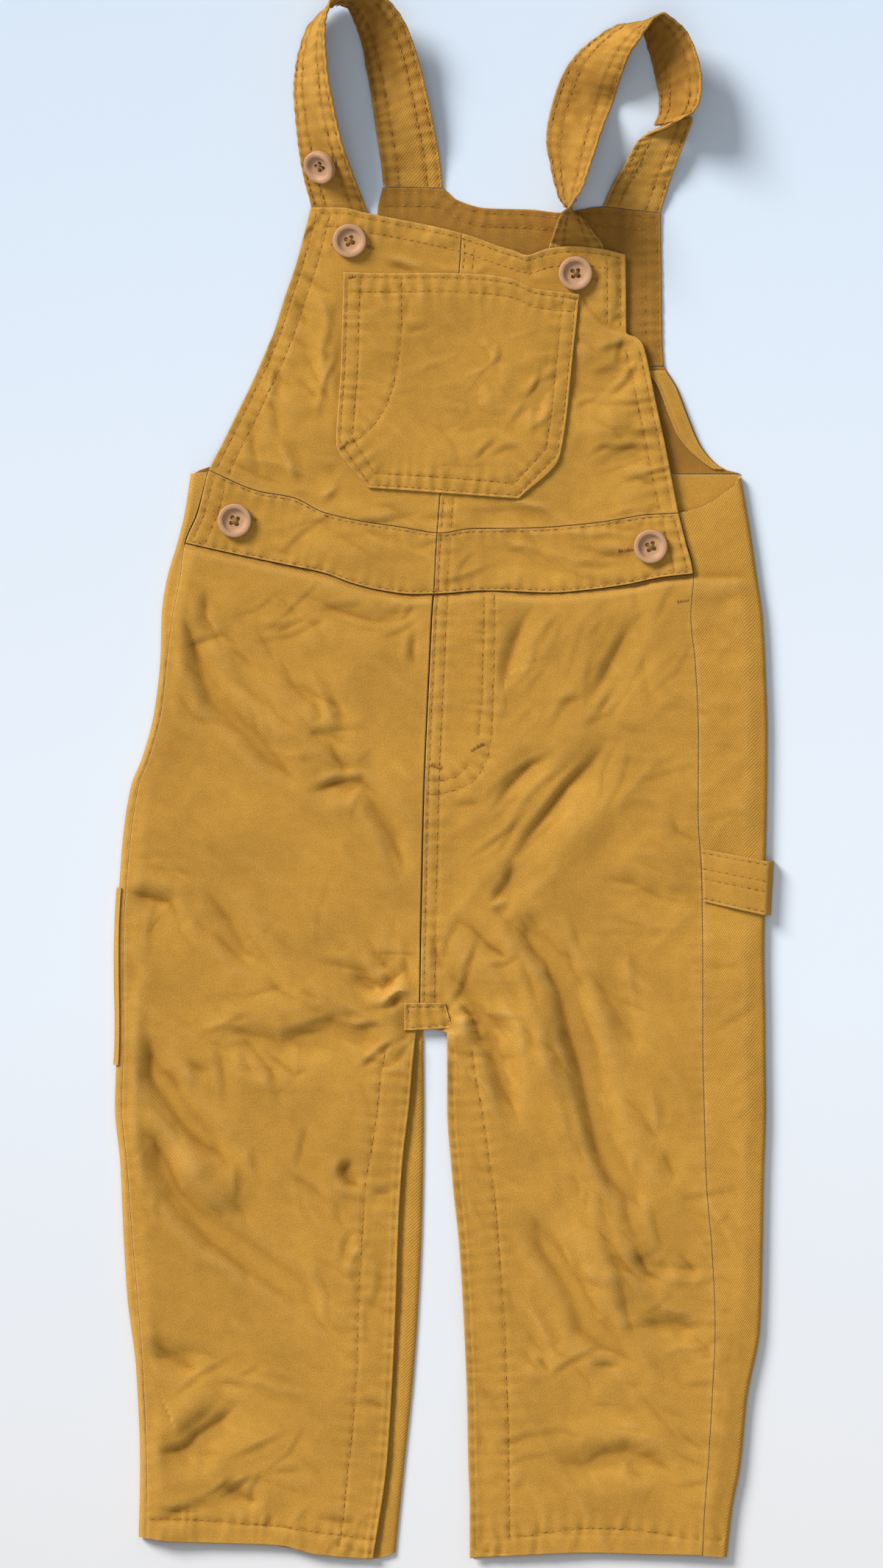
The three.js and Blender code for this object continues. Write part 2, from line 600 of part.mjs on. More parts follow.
// Stands a button on one face of a strap, clear of the strap's twist
function seatOnStrap(mesh, shape, { t, across, side, room }) {
  const normal = shape.normalAt(t).multiplyScalar(side);
  const run = shape.runAt(t);
  const cross = new THREE.Vector3().crossVectors(normal, run).normalize();
  const square = new THREE.Vector3().crossVectors(cross, normal);
  mesh.quaternion.setFromRotationMatrix(new THREE.Matrix4().makeBasis(square, cross, normal));
  mesh.position.copy(shape.middleAt(t, across)).addScaledVector(normal, STRAP.thick / 2 + SEAM + room);
}

function buttonSolid() {
  const { radius, thick, dish, dishDeep, edge, hole, holeFromMiddle } = BUTTON;
  const profile = [
    [0, 0], [radius - edge, 0], [radius, edge], [radius, thick - edge], [radius - edge, thick],
    [dish + 0.6, thick], [dish, thick - dishDeep], [0, thick - dishDeep],
  ].map(([r, z]) => new THREE.Vector2(r, z));
  const body = new THREE.LatheGeometry(profile, 20).rotateX(Math.PI / 2);
  let solid = solidOf(body);
  for (let k = 0; k < 4; k++) {
    const angle = Math.PI / 4 + k * Math.PI / 2;
    const drill = new THREE.CylinderGeometry(hole, hole, thick * 3, 8).rotateX(Math.PI / 2);
    drill.translate(holeFromMiddle * Math.cos(angle), holeFromMiddle * Math.sin(angle), thick / 2);
    solid = solid.subtract(solidOf(drill));
  }
  return geometryOf(solid);
}

function solidOf(geometry) {
  const bare = geometry.clone();
  bare.deleteAttribute('normal');
  bare.deleteAttribute('uv');
  const merged = mergeVertices(bare, 1e-4);
  const mesh = { numProp: 3, vertProperties: merged.attributes.position.array, triVerts: keepWhole(merged) };
  const solid = new wasm.Manifold(new wasm.Mesh(mesh));
  if (solid.volume() > 0) return solid;
  mesh.triVerts = mesh.triVerts.slice().reverse();
  return new wasm.Manifold(new wasm.Mesh(mesh));
}

// Leaves out the faces that closed up to a line at a pole when the vertices were merged
function keepWhole(geometry) {
  const whole = [];
  const index = geometry.index.array;
  for (let f = 0; f < index.length; f += 3) {
    const [a, b, c] = [index[f], index[f + 1], index[f + 2]];
    if (a !== b && b !== c && c !== a) whole.push(a, b, c);
  }
  return new Uint32Array(whole);
}

function geometryOf(solid) {
  const mesh = solid.getMesh();
  const geometry = new THREE.BufferGeometry();
  geometry.setAttribute('position', new THREE.BufferAttribute(Float32Array.from(mesh.vertProperties), 3));
  geometry.setIndex(Array.from(mesh.triVerts));
  return geometry;
}

// Buttons: where each stands, how far its face is above the table, and how it leans
const BUTTONS = [
  { name: 'button_bib_left', at: [-49.5, 698.5], on: bibHeight },
  { name: 'button_bib_right', at: [70.2, 681.3], on: bibHeight },
  { name: 'button_waist_left', at: [-110.4, 550.3], on: waistbandHeight },
  { name: 'button_waist_right', at: [110, 536.6], on: waistbandHeight },
];

// Lowest height at which a flat disc clears the cloth beneath it
function seatHeight([x, y], on) {
  let highest = 0;
  for (let ring = 0; ring <= 3; ring++) {
    for (let k = 0; k < 16; k++) {
      const [r, a] = [BUTTON.radius * ring / 3, k * Math.PI / 8];
      highest = Math.max(highest, on(x + r * Math.cos(a), y + r * Math.sin(a)));
    }
  }
  return highest + SEAM;
}

// Short band over the side strip of the right leg, round the side fold and down to the table
function hammerLoop() {
  const [columns, rows] = [9, 3];
  const top = { seam: [136.9, 376.6], fold: [171.4, 370] };
  const low = { seam: [138.4, 348.4], fold: [169.8, 341.4] };
  const over = LAYER + 1;
  const section = (i, j, depth) => {
    const part = j / rows;
    const seam = [mix(low.seam[0], top.seam[0], part), mix(low.seam[1], top.seam[1], part)];
    const fold = [mix(low.fold[0], top.fold[0], part), mix(low.fold[1], top.fold[1], part)];
    const level = legHeight(RIGHT_LEG.edge(fold[1]) - SIDE_FOLD_HEIGHT / 2, fold[1]) + over + WALL;
    if (i <= 5) {
      const u = i / 5;
      const x = mix(seam[0], fold[0], u);
      const y = mix(seam[1], fold[1], u);
      const rise = mix(legHeight(x, y) + LAYER + WALL, level, step(0, 0.8, u));
      return [x, y, rise - depth];
    }
    const turn = Math.PI / 2 * (i - 5) / 4;
    const reach = 4 - depth;
    return [fold[0] + reach * Math.sin(turn), fold[1], (level - depth) * Math.cos(turn * 0.98)];
  };
  return wall(columns, rows, (i, j) => section(i, j, 0), (i, j) => section(i, j, WALL));
}

// Edge of the side pocket, round the side fold of the left leg
function toolPocket() {
  const [columns, levels] = [6, [262, 285, 308, 331, 356]];
  const section = (i, j, depth) => {
    const y = levels[j];
    const edge = LEFT_LEG.edge(y);
    const inner = legHeight(edge + SIDE_FOLD_HEIGHT / 2, y) / 2;
    const reach = inner + LAYER + WALL - depth;
    const turn = Math.PI * mix(0.16, 0.86, i / columns);
    const z = inner - reach * Math.cos(turn);
    return [edge + inner - reach * Math.sin(turn), y, Math.max(0, z)];
  };
  return wall(columns, levels.length - 1, (i, j) => section(i, j, 0), (i, j) => section(i, j, WALL));
}

// Small piece over the joint of the two inside legs
const TAB_REACH = 4;
function crotchTab() {
  const [columns, rows] = [4, 2];
  const place = (i, j) => {
    const [u, v] = [i / columns, j / rows];
    return [mix(-20.5, mix(5, 1, v), u), mix(mix(280.2, 281.6, u), 295, v)];
  };
  const lift = (i, j) => {
    const [x, y] = place(i, j);
    const highest = Math.max(legHeight(x, y), legHeight(x - TAB_REACH, y), legHeight(x + TAB_REACH, y));
    return [x, y, highest + 2 * LAYER + WALL];
  };
  return wall(columns, rows, lift, (i, j) => {
    const [x, y, z] = lift(i, j);
    return [x, y, z - WALL];
  });
}

const garment = new THREE.Group();
function add(name, geometry, colour, roughness = 0.9) {
  const material = new THREE.MeshStandardMaterial({ color: colour, roughness, metalness: 0 });
  const mesh = new THREE.Mesh(geometry, material);
  mesh.name = name;
  garment.add(mesh);
  return mesh;
}

add('front_leg_left', frontLeg(LEFT_LEG, HEM.left, -1), COLOUR.cloth);
add('front_leg_right', frontLeg(RIGHT_LEG, HEM.right, 1), COLOUR.cloth);
add('back_leg_left', backLeg(LEFT_LEG, HEM.left, -1, 1, LEFT_RETURN), COLOUR.cloth);
add('back_leg_right', backLeg(RIGHT_LEG, HEM.right, 1, 3, RIGHT_RETURN), COLOUR.cloth);
add('waistband_left', waistbandHalf(BIB.left, bibCentreLeft), COLOUR.cloth);
add('waistband_right', waistbandHalf(bibCentreRight, BIB.right), COLOUR.cloth);
add('bib_front_left', bibHalf(BIB.left, bibCentreLeft), COLOUR.cloth);
add('bib_front_right', bibHalf(bibCentreRight, BIB.right), COLOUR.cloth);
add('bib_pocket', pocket(), COLOUR.cloth);
add('back_bib', backBib(), COLOUR.inside);
add('back_yoke', backYoke(), COLOUR.inside);
add('armhole_band_right', armholeBand(), COLOUR.inside);
add('crotch_tab', crotchTab(), COLOUR.cloth);
add('hammer_loop', hammerLoop(), COLOUR.cloth);
add('tool_pocket', toolPocket(), COLOUR.cloth);
const leftStrap = strapShape(STRAP_LEFT, 2, 1.5);
const rightStrap = strapShape(STRAP_RIGHT, 2, 2.5);
add('strap_left', strapSolid(leftStrap), COLOUR.cloth);
add('strap_right', strapSolid(rightStrap), COLOUR.cloth);

for (const { name, at, on } of BUTTONS) {
  const mesh = add(name, buttonSolid(), COLOUR.button, 0.5);
  mesh.position.set(at[0], at[1], seatHeight(at, on));
}

// The second button of each strap: on the left it shows, on the right the strap's turn hides it
const SHOWN_BUTTON = { t: 0.192, across: 0.44, side: -1, room: 1 };
const HIDDEN_BUTTON = { t: 0.301, across: 0.5, side: 1, room: 1.1 };
seatOnStrap(add('button_strap_left', buttonSolid(), COLOUR.button, 0.5), leftStrap, SHOWN_BUTTON);
seatOnStrap(add('button_strap_right', buttonSolid(), COLOUR.button, 0.5), rightStrap, HIDDEN_BUTTON);

// The origin goes under the middle of the bounding box, on the table
const box = new THREE.Box3().setFromObject(garment, true);
garment.position.set(-(box.min.x + box.max.x) / 2, -(box.min.y + box.max.y) / 2, -box.min.z);

export default garment;
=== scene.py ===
"""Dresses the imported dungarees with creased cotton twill, stitching and buttons, on a pale table."""
import math
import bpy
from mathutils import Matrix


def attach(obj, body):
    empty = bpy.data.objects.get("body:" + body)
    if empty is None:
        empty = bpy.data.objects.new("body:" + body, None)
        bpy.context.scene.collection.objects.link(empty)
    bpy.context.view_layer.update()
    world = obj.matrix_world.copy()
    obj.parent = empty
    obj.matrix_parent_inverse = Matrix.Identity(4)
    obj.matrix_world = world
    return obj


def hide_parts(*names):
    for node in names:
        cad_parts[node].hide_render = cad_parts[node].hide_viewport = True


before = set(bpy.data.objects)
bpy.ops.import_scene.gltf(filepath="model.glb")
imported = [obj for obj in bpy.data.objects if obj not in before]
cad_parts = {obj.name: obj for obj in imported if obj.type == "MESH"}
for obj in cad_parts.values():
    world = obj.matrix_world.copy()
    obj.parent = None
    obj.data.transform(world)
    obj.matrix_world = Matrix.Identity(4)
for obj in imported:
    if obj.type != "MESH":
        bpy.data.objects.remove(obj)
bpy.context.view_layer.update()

from types import SimpleNamespace

import bpy
import numpy as np
from mathutils import Matrix, Vector

bl_info = {
    "name": "Kids Dungarees",
    "version": (1, 0, 0),
    "blender": (4, 5, 0),
    "location": "View3D > Sidebar > Dungarees",
    "description": "Makes the cloth, stitching and buttons of a laid-out pair of dungarees",
    "category": "Add Mesh",
}

# Millimetres. X is measured from the middle of the garment and Y from its lowest hem, as in the part's
# source, and the frame's own place of that point comes last.
MM = 0.001
MOVED = np.array((-0.41, -416.08, 0.0))

# Cloth as the part has it, and as it shows here, where the walls are thinner than the solids
WALL = 1.2
SEAM = 0.3
LAYER = 0.3
BACK_TOP = WALL
FRONT_LOWEST = BACK_TOP + LAYER + WALL
CLOTH = 0.9
SHOWN_LOWEST = 2.45
SHOWN_SEAM = 0.1
CROTCH_LEVEL = 279

SIDE_FOLD_HEIGHT = 5.6
SIDE_FOLD_REACH = 24
LEG_REST_HEIGHT = 3.7
INSIDE_LEG_DROP = 0.8
INSIDE_LEG_REACH = 14
STRAP_WIDTH = 31.5
STRAP_THICK = 1.6
TUCK_DEEP = 2.2
TUCK_RUN = 4
ARMHOLE_BAND = 9.5
POCKET_LIFT = 0.6
POCKET_LOW = 565
POCKET_HIGH = 112
WAISTBAND_LIFT = 0.4
LEG_HEM_LIFT = 0.35
BACK_BIB_HEM_LIFT = 0.3
WALE_GAP = 1.3
BACK_WIDE = 145
BACK_LONG = 575
SIDE_TURN = 8

# How strongly each kind of crease shows
LEG_CREASES_SHOW = 1.75
LEG_SMALL_SHOW = 0.95
BIB_FOLDS_SHOW = 1.6
BIB_CREASES_SHOW = 2.7
POCKET_CREASES_SHOW = 2.4
SMALL_SHOW = 1.8

# Furrows and puckers of the stitching: depth or height, width and distance from one pucker to the next
FURROW = 0.42
FURROW_WIDE = 0.9
PUCKER = 0.28
PUCKER_GAP = 7.5
SIDE_SEAM_PUCKER = 0.14
STRAP_FURROW = 0.22
STRAP_PUCKER = 0.36
STRAP_PUCKER_GAP = 6.2

# How deep a place must lie below its wide and its close surroundings to be painted wholly in shade, and
# how far those go in cells
WIDE_BLUR, WIDE_DEPTH = 14, 2.4
CLOSE_BLUR, CLOSE_DEPTH = 2, 0.6
WORN_REACH = 0.9

# Places of the lights in metres, from the middle of the garment
WINDOW_AT = (-6.1, 5.4, 4.9)
WINDOW_ANGLE = 24
WINDOW_COLOUR = (1.0, 0.985, 0.96)
LAMP_AT = (0.05, -0.2, 1.3)
LAMP_WIDE = 0.9
SKY_COLOUR = (0.93, 0.965, 1.0, 1)

# The camera's height and the height of what it sees in metres, and its sensor in millimetres
CAMERA_HEIGHT = 8.0
VIEW_HEIGHT = 0.8311
SENSOR = 24


class SmoothLine:
    """A smooth line through a few chosen points that never swings past them."""

    def __init__(self, xs, ys):
        self.xs = np.array(xs, float)
        self.ys = np.array(ys, float)
        slope = np.diff(self.ys) / np.diff(self.xs)
        before, after = slope[:-1], slope[1:]
        turns = before * after <= 0
        total = np.where(turns, 1, before + after)
        inner = np.where(turns, 0, 2 * before * after / total)
        self.tangent = np.concatenate((slope[:1], inner, slope[-1:]))

    def __call__(self, x):
        x = np.clip(x, self.xs[0], self.xs[-1])
        i = np.clip(np.searchsorted(self.xs, x, side="right") - 1, 0, len(self.xs) - 2)
        h = self.xs[i + 1] - self.xs[i]
        t = (x - self.xs[i]) / h
        t2, t3 = t * t, t * t * t
        return (
            (2 * t3 - 3 * t2 + 1) * self.ys[i]
            + (t3 - 2 * t2 + t) * h * self.tangent[i]
            + (3 * t2 - 2 * t3) * self.ys[i + 1]
            + (t3 - t2) * h * self.tangent[i + 1]
        )


def line(points):
    """A smooth line from pairs of numbers."""
    return SmoothLine(*zip(*points))


def table(names, rows):
    """One smooth line for each named column after the first, read by the first."""
    columns = list(zip(*rows))
    lines = (SmoothLine(columns[0], column) for column in columns[1:])
    return SimpleNamespace(**dict(zip(names.split(), lines)))


def mix(a, b, t):
    return a + (b - a) * t


def step(low, high, value):
    t = np.clip((value - low) / (high - low), 0, 1)
    return t * t * (3 - 2 * t)


# Legs: edge is the side fold, seam the side seam on top, front and back the inner edges of the panels
LEFT_LEG = table("edge seam front back", [
    (0, -161.5, -156.5, -37, -25.5), (50, -160.5, -157, -29.6, -20.5), (100, -162.5, -159, -26.3, -15.5),
    (140, -167.3, -162, -24.6, -12.8), (175, -169.4, -165, -23.5, -11.3),
    (210, -171, -167.5, -21.3, -10.5), (240, -173.8, -170.2, -17.8, -10.2),
    (279, -172.6, -169.1, -14, -10.5), (283, -172.6, -169.1, -12.6, -10.2),
    (330, -172.9, -169.3, -12, -10.2), (360, -171.3, -167.6, -11.4, -10.2),
    (385, -169.3, -165.2, -10.8, -10.2), (410, -165.2, -161.3, -10.2, -10.2),
    (425, -159.3, -155.7, -9.6, -10.2), (450, -152.8, -149.2, -8.5, -10.2),
    (480, -149.6, -145.9, -7.1, -10.2), (500, -149.1, -143.3, -6.1, -10.2),
    (518, -146.6, -139.6, -4.9, -10.2), (539, -140.6, -136.8, -4.2, -10.2),
    (554, -136.9, -130.7, -3.2, -10.2), (577, -133.4, -124.6, -2, -10.2),
])
RIGHT_LEG = table("edge seam front back", [
    (0, 150.2, 137.3, 14, 15.5), (27, 153.3, 138.8, 14, 15.5), (50, 157.6, 140.6, 13.2, 14.7),
    (85, 161.1, 142.7, 12.5, 14), (124, 168.1, 144.3, 10.9, 12.4), (163, 169.3, 142.7, 8.6, 10.1),
    (202, 170, 139.6, 4.7, 6.2), (241, 171.2, 138.5, 2, 3.5), (279, 170.8, 137.7, 2, 3.5),
    (283, 170.8, 137.7, -12.2, -9.8), (319, 170.2, 137.7, -11.8, -9.8), (358, 170.8, 137.3, -11, -9.8),
    (397, 171.6, 135.3, -10.2, -9.8), (436, 172, 135.5, -8.8, -9.8), (475, 170.8, 133.8, -6.9, -9.8),
    (500, 169.3, 131.4, -5.7, -9.8), (522, 166.1, 132.9, -4.1, -9.8), (540, 163.6, 128.9, -3.8, -9.8),
    (554, 161.3, 125.2, -3, -9.8), (577, 157.2, 121.5, -2, -9.8),
])
LEFT_LEG.hem = line([(-161, 12), (-145, 9.4), (-118, 8.6), (-87, 7.4), (-67, 2.6), (-37, 0.4), (-25, 3.6)])
RIGHT_LEG.hem = line([(14, 0.8), (38, 2), (77, 3.5), (108, 2.7), (132, 2.3), (150, 1.2)])
LEFT_LEG.outward, RIGHT_LEG.outward = -1, 1

# How far up the back panels reach: under the garment, at the side fold and on top
LEFT_RETURN = SimpleNamespace(under=575, edge=575.5, strip=line([(-150, 576), (-120, 576)]))
RIGHT_RETURN = SimpleNamespace(under=575, edge=572, strip=line(
    [(124, 554.2), (135.7, 557.3), (143.5, 561.2), (151, 566.7), (158.3, 571)]))

WAIST_SEAM = line([
    (-137, 538.6), (-118, 534.3), (-98, 530), (-79, 526.1), (-63, 522.6), (-48, 517.1), (-32, 513.2),
    (-16, 511.3), (0, 511.7), (22, 513.2), (58, 512.1), (77, 513.6), (97, 516.4), (116, 520.3), (133, 522.2),
])
BIB_SEAM = line([
    (-124, 577), (-98, 566), (-79, 562.4), (-63, 554.6), (-40, 549.5), (-24, 547.2), (-1, 543.8),
    (15, 546), (46, 546.4), (77, 548.7), (93, 551), (108, 553.4), (124, 554.2),
])
BIB_TOP = line([
    (-70, 716.4), (-55, 716.4), (-40, 713.3), (-24, 710.2), (-1, 705.5), (15, 701.2), (30, 695.8),
    (38, 693.4), (44.5, 691.1), (56, 694.6), (69, 695.8), (85, 694.2), (96, 691.5),
])
BIB = table("left centre right", [
    (512, -139, -4.7, 132.4), (522, -139, -4.3, 132.4), (539, -136.2, -3.4, 128.6),
    (554, -130, -2.3, 124.9), (577, -124, -0.4, 120.4), (592, -116.6, 1, 117.5), (608, -108.8, 2.4, 113.9),
    (624, -101, 3.5, 110.6), (639, -94.4, 4.7, 107.4), (644, -92.4, 5.1, 105.7), (647.5, -90.8, 5.4, 102.6),
    (649.5, -90, 5.6, 97.2), (670, -83.5, 7.6, 97), (686, -78, 8.9, 96.8), (702, -73.7, 9.8, 96.3),
    (716, -70.2, 10, 96.3),
])
TUCK = line([(72, 671.5), (75, 664.6), (81, 657), (86, 652.9), (97, 649), (106, 646)])
POCKET = table("left left_y right right_y", [
    (0, -39.8, 567.8, 40.2, 562), (0.22, -56.6, 591.5, 62, 584.6), (0.6, -54.2, 631, 68.6, 635),
    (1, -52.7, 682, 72.2, 670.4),
])
POCKET_BOW = line([(0, 0), (0.17, 1.4), (0.48, 5), (0.6, 5.6), (0.7, 5.1), (0.76, 3), (0.82, 0.6), (1, 0)])
BACK_BIB_TOP = line([
    (-32, 727), (-16, 727), (0, 726.2), (7, 720.6), (23, 716), (46, 715.3), (62, 713.7), (84, 716.8),
    (101, 714.9), (115, 713.3),
])
BACK_BIB = table("left right", [
    (632, -36, 117), (647, -36, 116.2), (680, -35.5, 115.8), (714, -34.7, 115.4), (727, -32, 115.4),
])
YOKE = table("left right", [
    (575.4, -132, 157.6), (577.6, -128, 149.4), (584, -106, 141.4), (592, -86, 135.7), (606, -60, 129.9),
    (621, -42, 124), (630, -37, 118.4), (632, -36, 117.2),
])

# Broad folds that the part itself has: half width, height, then the points that each runs through
LEG_FOLDS = [
    (11, -2.4, [(-137, 499), (-118, 450), (-79, 413), (-74, 406)]),
    (15, 2.4, [(-106, 475), (-84, 448), (-59, 425)]),
    (8, -1.8, [(-74, 405), (-44, 412), (-28, 386), (-20, 358)]),
    (9, -1.4, [(-172, 355), (-139, 339)]),
    (12, -1.5, [(-130, 358), (-106, 323), (-87, 312)]),
    (13, -1.9, [(-118, 284), (-87, 273), (-59, 280), (-28, 273)]),
    (9, -1.5, [(-52, 312), (-32, 304), (-18, 312)]),
    (8, 2, [(-40, 290), (-27, 300), (-14, 298)]),
    (12, -2.6, [(-159, 280), (-153, 257), (-137, 234), (-110, 202)]),
    (12, -2.6, [(-165, 230), (-141, 195), (-102, 160), (-63, 128)]),
    (13, 3, [(-146, 220), (-125, 200), (-106, 183)]),
    (7, -1.3, [(-48, 214), (-51, 204), (-42, 197)]),
    (10, -1.6, [(-159, 119), (-126, 97)]),
    (12, -2, [(-157, 56), (-137, 58), (-106, 85)]),
    (9, -1.3, [(-118, 39), (-94, 29)]),
    (12, -1.8, [(105, 507), (97, 491), (85, 468), (73, 450)]),
    (11, -2.4, [(89, 436), (77, 421), (54, 394), (30, 364)]),
    (14, 2.2, [(62, 372), (95, 415)]),
    (8, -1.8, [(38, 372), (34, 358), (23, 345)]),
    (12, -2.6, [(36, 349), (58, 316), (73, 269), (85, 218), (108, 179)]),
    (10, -1.4, [(73, 316), (93, 292), (105, 265)]),
    (10, -2, [(-1, 312), (19, 292), (30, 261), (42, 226)]),
    (13, 3, [(43, 304), (53, 270), (60, 240)]),
    (8, -1.4, [(46, 507), (35, 480), (33, 468), (46, 462)]),
    (9, -1.5, [(62, 429), (46, 421), (25, 394)]),
    (9, -1.4, [(77, 362), (101, 358), (138, 347)]),
    (11, -2.4, [(46, 187), (66, 152), (77, 124), (106, 101)]),
    (13, 2.3, [(64, 192), (84, 156), (100, 128)]),
    (9, -1.3, [(101, 167), (120, 146)]),
    (9, -1.3, [(101, 128), (140, 122)]),
    (10, -1.5, [(54, 52), (97, 56), (128, 43)]),
]
BIB_FOLDS = [
    (9, -0.9, [(-79, 627), (-63, 612)]),
    (10, -1.3, [(69, 624), (97, 631)]),
    (12, -1.2, [(77, 577), (108, 592)]),
    (12, -1.5, [(12, 696), (38, 682), (60, 676)]),
    (10, -1.2, [(-16, 698), (7, 686)]),
    (12, -1.1, [(38, 612), (69, 631)]),
    (12, -1, [(-16, 608), (15, 604), (38, 608)]),
    (9, -0.9, [(-67, 553), (-16, 538)]),
    (9, -0.9, [(15, 538), (54, 526)]),
    (16, 1, [(-62, 668), (-52, 700)]),
    (18, 1.6, [(66, 690), (84, 665)]),
]

# Sharper creases that only show here, in the same order of values
LEG_CREASES = [
    (5, -1.2, [(-137.3, 498.8), (-121.7, 455.9), (-106.1, 440.3), (-78.8, 413), (-74.1, 406.4)]),
    (4, -1.2, [(-72.9, 406), (-57.3, 410.7), (-43.7, 411.8), (-32, 403.3)]),
    (5, -0.8, [(-63.2, 436.4), (-51.5, 416.9), (-43.7, 411.8)]),
    (5, -0.9, [(-43.7, 411.8), (-37.8, 401.3), (-28.1, 385.7), (-22.2, 370.1), (-20.3, 358.4)]),
    (5, -0.8, [(-126.4, 516.4), (-125.6, 498.8), (-117.8, 487.1)]),
    (6, -0.8, [(-78.8, 514.4), (-55.4, 502.7), (-35.9, 496.9), (-16.4, 498.8)]),
    (4, -0.6, [(-15.2, 494.9), (-16.4, 479.3), (-14.4, 471.5)]),
    (7, -0.7, [(-86.6, 467.6), (-55.4, 452), (-47.6, 436.4)]),
    (5, -0.9, [(-172.4, 354.5), (-145.1, 348.7), (-139.2, 338.9)]),
    (6, -1, [(-129.5, 358.4), (-113.9, 338.9), (-106.1, 323.3), (-86.6, 311.6)]),
    (5, -1.1, [(-51.5, 311.6), (-32, 303.8), (-16.4, 315.5)]),
    (5, 1.2, [(-35.9, 292.1), (-24.2, 301.9), (-12.5, 299.9)]),
    (6, -1.1, [(-117.8, 284.3), (-86.6, 272.6), (-59.3, 280.4), (-28.1, 272.6)]),
    (6, -0.8, [(-98.3, 272.6), (-78.8, 257), (-67.1, 260.9)]),
    (6, -1.6, [(-158.7, 280.4), (-152.9, 257), (-137.3, 233.6), (-117.8, 214.1), (-110, 202.4)]),
    (6, -1.6, [(-164.6, 229.7), (-152.9, 221.9), (-141.2, 194.6), (-121.7, 171.2), (-102.2, 159.5),
               (-78.8, 143.9), (-63.2, 128.3)]),
    (4, -0.9, [(-47.6, 214.1), (-51.5, 206.3), (-49.5, 200.5), (-41.7, 196.6)]),
    (5, -0.9, [(-158.7, 118.6), (-145.1, 108.8), (-125.6, 97.1)]),
    (6, -1.2, [(-156.8, 56.2), (-137.3, 58.1), (-121.7, 69.8), (-106.1, 85.4)]),
    (4, -0.7, [(-152.9, 26.9), (-125.6, 25)]),
    (4, -0.8, [(-117.8, 38.6), (-94.4, 28.9)]),
    (4, -0.5, [(-71, 23), (-39.8, 19.1)]),
    (4, -0.5, [(-32, 257), (-16.4, 257)]),
    (4, -0.5, [(-39.8, 194.6), (-24.2, 194.6)]),
    (4, -0.5, [(-43.7, 85.4), (-28.1, 79.6)]),
    (6, -1, [(104.5, 506.6), (96.7, 491), (85, 467.6), (73.3, 450.1)]),
    (6, -1.5, [(88.9, 436.4), (77.2, 420.8), (65.5, 409.1), (53.8, 393.5), (38.2, 374), (30.4, 364.3)]),
    (5, -1.1, [(38.2, 372.1), (34.3, 358.4), (22.6, 344.8)]),
    (5, 1, [(22.6, 344.8), (36.3, 350.6)]),
    (6, -1.5, [(36.3, 348.7), (46, 331.1), (57.7, 315.5), (65.5, 303.8), (69.4, 288.2), (73.3, 268.7),
               (79.2, 241.4), (85, 218), (92.8, 202.4), (104.5, 186.8), (108.4, 179)]),
    (6, -0.8, [(73.3, 315.5), (92.8, 292.1), (104.5, 264.8)]),
    (5, -0.8, [(-0.8, 342.8), (14.8, 335), (26.5, 323.3), (42.1, 315.5)]),
    (5, -1.2, [(-0.8, 311.6), (10.9, 303.8), (18.7, 292.1), (26.5, 276.5), (30.4, 260.9), (34.3, 245.3),
               (42.1, 225.8)]),
    (4, -0.9, [(3.1, 299.9), (14.8, 288.2), (22.6, 268.7)]),
    (5, -0.9, [(46, 506.6), (38.2, 487.1), (34.3, 475.4), (32.4, 467.6), (38.2, 467.6), (46, 461.8)]),
    (5, -0.9, [(61.6, 428.6), (46, 420.8), (34.3, 409.1), (24.6, 393.5)]),
    (5, -0.6, [(57.7, 452), (77.2, 457.9)]),
    (4, -0.6, [(3.1, 399.4), (22.6, 401.3)]),
    (4, -0.6, [(120.1, 397.4), (124, 385.7), (139.6, 377.9)]),
    (5, -0.6, [(77.2, 362.3), (100.6, 358.4), (116.2, 350.6), (137.7, 346.7)]),
    (6, -1.4, [(46, 186.8), (53.8, 167.3), (65.5, 151.7), (73.3, 140), (77.2, 124.4), (88.9, 112.7),
               (100.6, 104.9), (106.5, 101)]),
    (5, -0.8, [(77.2, 103), (96.7, 103)]),
    (5, -0.8, [(100.6, 167.3), (108.4, 151.7), (120.1, 145.9)]),
    (6, -0.6, [(116.2, 218), (124, 198.5)]),
    (5, -0.6, [(124, 163.4), (135.7, 149.8)]),
    (5, -0.7, [(100.6, 128.3), (116.2, 124.4), (139.6, 122.5)]),
    (5, -0.6, [(49.9, 108.8), (57.7, 97.1)]),
    (6, -1, [(53.8, 52.3), (77.2, 50.3), (96.7, 56.2), (116.2, 50.3), (127.9, 42.5)]),
]
BIB_CREASES = [
    (6, -0.5, [(-78.8, 670.4), (-71, 650.9)]),
    (6, -0.6, [(-78.8, 627.5), (-63.2, 611.9)]),
    (6, -0.7, [(77.2, 576.8), (108.4, 592.4)]),
    (6, -0.7, [(76, 623.6), (96.7, 631.4)]),
    (8, -1, [(14.8, 693.8), (38.2, 682.1), (57.7, 676.3)]),
    (6, -0.7, [(-16.4, 697.7), (7, 686)]),
    (5, -0.5, [(-67.1, 553.4), (-16.4, 537.8)]),
    (5, -0.5, [(14.8, 537.8), (53.8, 526.1)]),
]
POCKET_CREASES = [
    (5, -0.5, [(34.3, 647), (30.4, 631.4)]),
    (6, -0.7, [(38.2, 611.9), (69.4, 631.4)]),
    (6, -0.6, [(-16.4, 608), (14.8, 604.1), (38.2, 608)]),
]

# Places where the cloth is most crumpled: centre, reach and how much more than elsewhere
CRUMPLED = [
    ((-20, 290), 46, 0.9), ((18, 285), 46, 0.9), ((-90, 440), 60, 0.5), ((70, 400), 60, 0.5),
    ((-105, 190), 60, 0.6), ((85, 190), 55, 0.6), ((-110, 40), 55, 0.5), ((85, 60), 50, 0.4),
]
